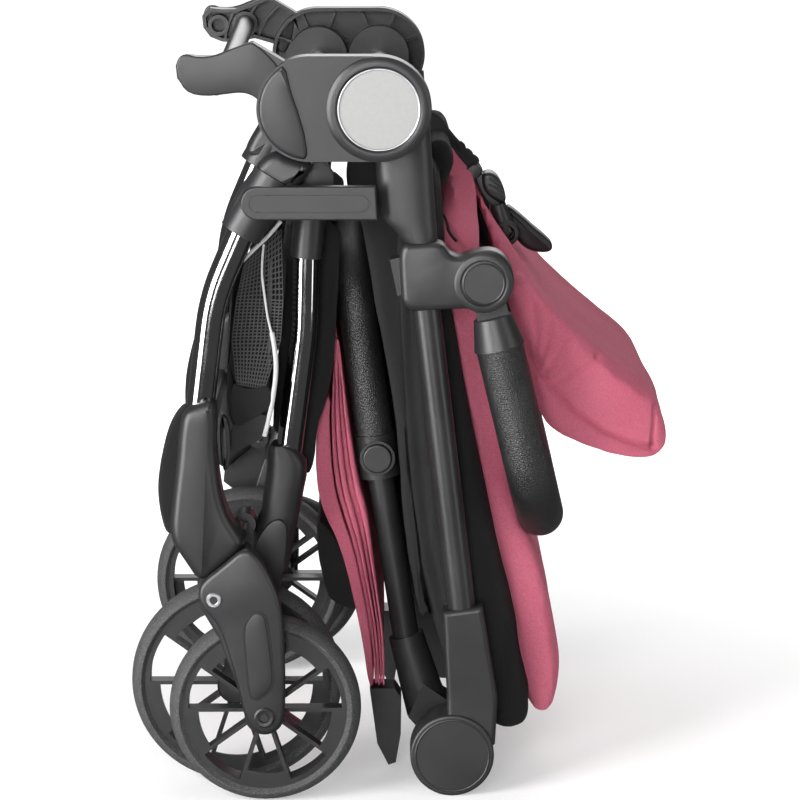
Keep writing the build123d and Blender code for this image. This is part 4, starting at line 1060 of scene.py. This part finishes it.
DISC_RIM = [(30.1, 0), (30.1, 0.8), (30.5, 1.1), (30.9, 1.1), (31.3, 0.8), (31.3, 0), (30.1, 0)]
BEZEL = [(31.6, 0), (31.6, 1.2), (33.0, 2.2), (35.0, 2.3), (37.5, 1.6), (39.6, 0.2), (39.6, 0), (31.6, 0)]
SCREW = [(3.0, 0), (6.0, 0), (6.0, 1.0), (5.2, 1.8), (3.4, 1.8), (3.0, 1.5), (3.0, 0)]
# Painted shade: a flat black hexagon in the screw's head, standing in for the shade in its hex socket
SCREW_SOCKET_SHADE = [(0.4, 0), (3.3, 0), (3.3, 0.5), (0.4, 0.5)]
SCREW_AT = (-127.5, 169)
AXLE_RING = [(4.2, 0), (4.2, 2.2), (6.6, 2.6), (7.8, 1.8), (8.2, 0), (4.2, 0)]
# Painted shade: a flat black disc at the axle's end, standing in for the shade in its hole
AXLE_HOLE_SHADE = [(0.4, 0), (3.6, 0), (3.6, 1.0), (0.4, 1.0)]
AXLE_AT = (-89.5, 75)
FOLD_RIM = [(28.4, 0), (28.4, 0.6), (29.0, 0.9), (29.6, 0.6), (29.6, 0), (28.4, 0)]
FOLD_AT = (57, 33)
BUMPER_RIM = [(15.0, 0), (15.0, 0.5), (15.6, 0.8), (16.2, 0.5), (16.2, 0), (15.0, 0)]
CLIP_RING = [(17.2, 0), (17.2, 1.2), (18.2, 2.0), (20.4, 2.0), (22.4, 1.0), (22.8, 0), (17.2, 0)]
BUMPER_AT = (80, 410)
STUB = [(0.5, 0), (15, 0), (15, 4.5), (13.5, 6), (0.5, 6)]
STUB_AT = (-113.4, 83.5)
HUB = [(0.5, 0), (26, 0), (26, 15), (24, 18), (0.5, 18)]
HUB_Y = 171.0
# Rounded parts of the rear and the handle, as rows of (height, left, right)
BOOT_ROWS = [
    (276, -84, -72), (273, -87, -64), (262, -88, -57), (250, -89, -57), (238, -91, -59.5), (224, -93, -62),
    (208, -99, -65.5), (194, -101, -68), (184, -93, -70), (175, -85, -72),
]
BOOT_DEPTH = 15.0
BOOT_Y = 156.5
BOOT_PLATE = [(-80, 224), (-68, 206), (-98, 76), (-113, 70), (-128, 90), (-102, 196)]
BOOT_ACROSS = (170, 175.5)
SLEEVE_ROWS = [
    (531, -7, 39), (515, -5, 40), (500, -2.5, 41), (481, -1, 42), (466, 0.5, 43), (459, 2, 43.5),
    (454, 6.5, 44), (450, 11, 44.3), (446, 14.5, 44.5), (441.5, 16.5, 45), (440.5, 19, 43),
]
SLEEVE_DEPTH = 13.5
SLEEVE_Y = 184.0
# The housing's crest is an arc closed by inner points
CREST_DX = -52.5
CREST_R = 38.6
CREST_START = 118.0
CREST_SWEEP = 150.0
CREST_STEPS = 12
CREST_INNER = [(-55, 522), (-60, 541), (-66, 558)]
SOCKET_COVER = [
    (-80, 514), (-62, 505), (-47, 503), (-60, 485), (-72, 470), (-89, 445), (-104, 449), (-117, 459),
    (-115, 468), (-98, 495),
]
SOCKET_WEB = [(-62, 503), (-34, 501), (-35, 466), (-78, 466), (-84, 488)]
BRACKET_SKIN = [
    (-152.5, 574), (-152.5, 580.5), (-149, 585.5), (-144, 586.5), (-137, 584), (-124, 585), (-110.5, 590.5),
    (-97.5, 595), (-93, 594.5), (-84.5, 587), (-75.5, 577), (-73, 566), (-80, 545), (-86, 544),
    (-90.5, 551.5), (-97, 556), (-105, 557.5), (-116, 556), (-131, 554.5), (-142.5, 556.5), (-149, 562.5),
]
LEG_OUTLINE = [
    (-151, 312), (-139, 318), (-126, 322), (-125, 300), (-126, 284), (-123, 252), (-118, 231), (-110, 218),
    (-103, 206), (-121, 190), (-139, 175), (-151, 194), (-163, 212), (-160, 243), (-156, 273), (-154, 298),
]
POUCH_OUTLINE = [
    (-148, 316), (-159, 306), (-167, 282), (-171, 259), (-172, 242), (-170, 225), (-165, 210), (-152, 212),
    (-146, 267), (-144, 308),
]
FORK_OUTLINE = [
    (-103, 211), (-92, 202), (-83, 186), (-77, 170), (-74, 151), (-73, 119), (-73, 76), (-78, 65), (-89, 60),
    (-99, 65), (-105, 76), (-109, 97), (-119, 134), (-126, 151), (-137, 162), (-140, 172), (-138, 182),
    (-120, 196),
]
FORK_INSET = [
    (-104, 146), (-99, 155.5), (-96, 158.5), (-92, 158.5), (-88, 154), (-84.5, 126), (-83, 104), (-85, 99),
    (-93, 91), (-97, 90.5), (-100, 95), (-102, 120),
]
# Painted shade: outline of a thin dark plate just round the fork's inset, standing in for the shade in the
# groove
FORK_GROOVE_SHADE = [
    (-106, 147), (-100.5, 157.5), (-97, 160.6), (-91, 160.6), (-86, 155), (-82.5, 126), (-80.9, 103),
    (-83.5, 97.4), (-92.4, 88.8), (-98.4, 88.3), (-102, 94), (-104, 120),
]
CLIP_OUTLINE = [
    (15, 440), (30, 441), (48, 442), (54, 432), (62, 430), (70, 433), (83, 436), (94, 433), (102, 422),
    (104, 408), (98, 393), (86, 388), (68, 390), (46, 389), (18, 387), (16, 412),
]


def crest_outline():
    """The outline of the raised crest round a housing's front."""
    outline = []
    for k in range(CREST_STEPS + 1):
        angle = math.radians(CREST_START + CREST_SWEEP * k / CREST_STEPS)
        outline.append((CREST_DX + CREST_R * math.cos(angle), HINGE_AT[1] + CREST_R * math.sin(angle)))
    return outline + CREST_INNER


# Each flat form's outline, places across, edge radius, slot, body, step and corner cuts.
# A body whose name ends with an underscore is one of two, named by the side.
SIDE_FORMS = {
    "backrest_wing": (WING_CLOTH, (141, 164), 8, "black_fabric", "handle_lower", 4, 1),
    "basket_lining": (LINING, (168, 170), 0.8, "black_fabric", "front_frame", 3, 1),
    "basket_side": (SIDE_CLOTH, (140, 143), 1.2, "black_fabric", "front_frame", 3, 1),
    "basket_pocket": (POCKET, (175.5, 178.5), 1, "black_fabric", "front_frame", 2, 1),
    "basket_tie": (TIE, (174.6, 177.4), 0.8, "webbing", "front_frame", 2, 1),
    "tie_bracket": (TIE_BRACKET, (177, 187), 2.0, "charcoal_plastic", "front_frame", 1.5, 1),
    "tie_slot": (TIE_SLOT, (176, 187.6), 0.4, "black_plastic", "front_frame", 1.5, 1),
    "socket_cover": (SOCKET_COVER, (174, 200), 9, "charcoal_plastic", "front_frame", 2.5, 2),
    "socket_web": (SOCKET_WEB, (173, 178), 1, "black_plastic", "front_frame", 3, 1),
    "housing_crest": (crest_outline(), (203.8, 210.6), 3.0, "charcoal_plastic", "chassis", 2.5, 1),
    "leg_shell": (LEG_OUTLINE, (176, 213), 8, "charcoal_plastic", "front_frame", 3, 2),
    "basket_pouch": (POUCH_OUTLINE, (178, 196), 4, "black_fabric", "front_frame", 3, 2),
    "fork_skin": (FORK_OUTLINE, (223.4, 233.4), 4, "charcoal_plastic", "castor_", 2.5, 2),
    "fork_groove_shade": (FORK_GROOVE_SHADE, (232.6, 233.7), 0.2, "black_plastic", "castor_", 2, 1),
    "fork_inset": (FORK_INSET, (232.6, 234.3), 0.5, "charcoal_plastic", "castor_", 2, 1),
    "bracket_skin": (BRACKET_SKIN, (203, 206.4), 2.2, "charcoal_plastic", "chassis", 2.5, 1),
    "clip_shell": (CLIP_OUTLINE, (171.5, 199.5), 6, "charcoal_plastic", "handle_lower", 2, 2),
}

# Each turned piece's profile, place, distance across, slot, body and number of sides
SIDE_RINGS = {
    "disc_rim": (DISC_RIM, HINGE_AT, 212, "steel", "chassis", 96),
    "hinge_bezel": (BEZEL, HINGE_AT, 211.6, "charcoal_plastic", "chassis", 96),
    "fork_screw": (SCREW, SCREW_AT, 232.8, "steel", "castor_", 40),
    # Painted shade: a black hexagon for the shade in the screw's socket
    "fork_socket_shade": (SCREW_SOCKET_SHADE, SCREW_AT, 233.1, "black_plastic", "castor_", 6),
    "axle_ring": (AXLE_RING, AXLE_AT, 232.8, "black_plastic", "castor_", 40),
    # Painted shade: a black disc for the shade in the axle's hole
    "axle_hole_shade": (AXLE_HOLE_SHADE, AXLE_AT, 233.1, "black_plastic", "castor_", 6),
    "fold_rim": (FOLD_RIM, FOLD_AT, 200, "black_plastic", "handle_lower", 96),
    "bumper_rim": (BUMPER_RIM, BUMPER_AT, 200, "black_plastic", "handle_lower", 72),
    "clip_ring": (CLIP_RING, BUMPER_AT, 198.6, "charcoal_plastic", "handle_lower", 72),
}


def make_hinge_details(side):
    """Covers and rings of the main hinge, the leg sockets and the joints below."""
    side_form("socket_cover", side)
    side_form("socket_web", side)
    side_ring("disc_rim", side)
    side_ring("hinge_bezel", side)
    side_form("housing_crest", side)
    # Painted shade: two of these are dark discs standing in for the shade in the screw's socket and in the
    # axle's hole
    for name in ("fork_screw", "fork_socket_shade", "axle_ring", "axle_hole_shade", "fold_rim", "bumper_rim"):
        side_ring(name, side)


def make_leg_shells(side, sign):
    """Rounded feet of the front legs, skins of the castor forks and boots of the rear legs."""
    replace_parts(side_form("leg_shell", side), "front_leg_" + side)
    pouch = side_form("basket_pouch", side)
    subdivide(pouch)
    wrinkle(pouch, height=0.9, scale=45, stretch=(1, 1, 0.4))
    side_form("fork_skin", side)
    # Painted shade: the groove round the fork's inset is a dark plate, not a recess
    side_form("fork_groove_shade", side).data.materials[0] = GROOVE_SHADE
    side_form("fork_inset", side).data.materials[0] = RIM
    boot = tapered("boot", BOOT_ROWS, sign * BOOT_Y, BOOT_DEPTH, DARK_PLASTIC, "rear_frame")
    near, far = BOOT_ACROSS
    shin = plate("shin", BOOT_PLATE, sign * near, sign * far, 1.5, DARK_PLASTIC, "rear_frame", step=3)
    stub = turned("stub", side, STUB, STUB_AT, near, DARK_PLASTIC, "rear_frame", sides=48)
    boot = join("boot_shell_" + side, [boot, shin, stub])
    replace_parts(boot, "rear_boot_" + side)


def make_handle_shells(side, sign):
    """Skin of the seat bracket, and the rounded sleeve and bumper clip of the handle."""
    side_form("bracket_skin", side)
    hub = turned("hub", side, HUB, HINGE_AT, HUB_Y, PLASTIC, "handle_lower", sides=64)
    arm = tapered("arm", SLEEVE_ROWS, sign * SLEEVE_Y, SLEEVE_DEPTH, PLASTIC, "handle_lower")
    sleeve = join("sleeve_shell_" + side, [arm, hub])
    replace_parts(sleeve, "handle_sleeve_" + side)
    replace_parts(side_form("clip_shell", side), "bumper_mount_" + side)
    side_ring("clip_ring", side)


make_stage()
dress_solids()
make_seat()
make_backrest()
make_canopy()
make_basket()
make_harness()
for side_name, side_sign in SIDES:
    make_hinge_details(side_name)
    make_leg_shells(side_name, side_sign)
    make_handle_shells(side_name, side_sign)
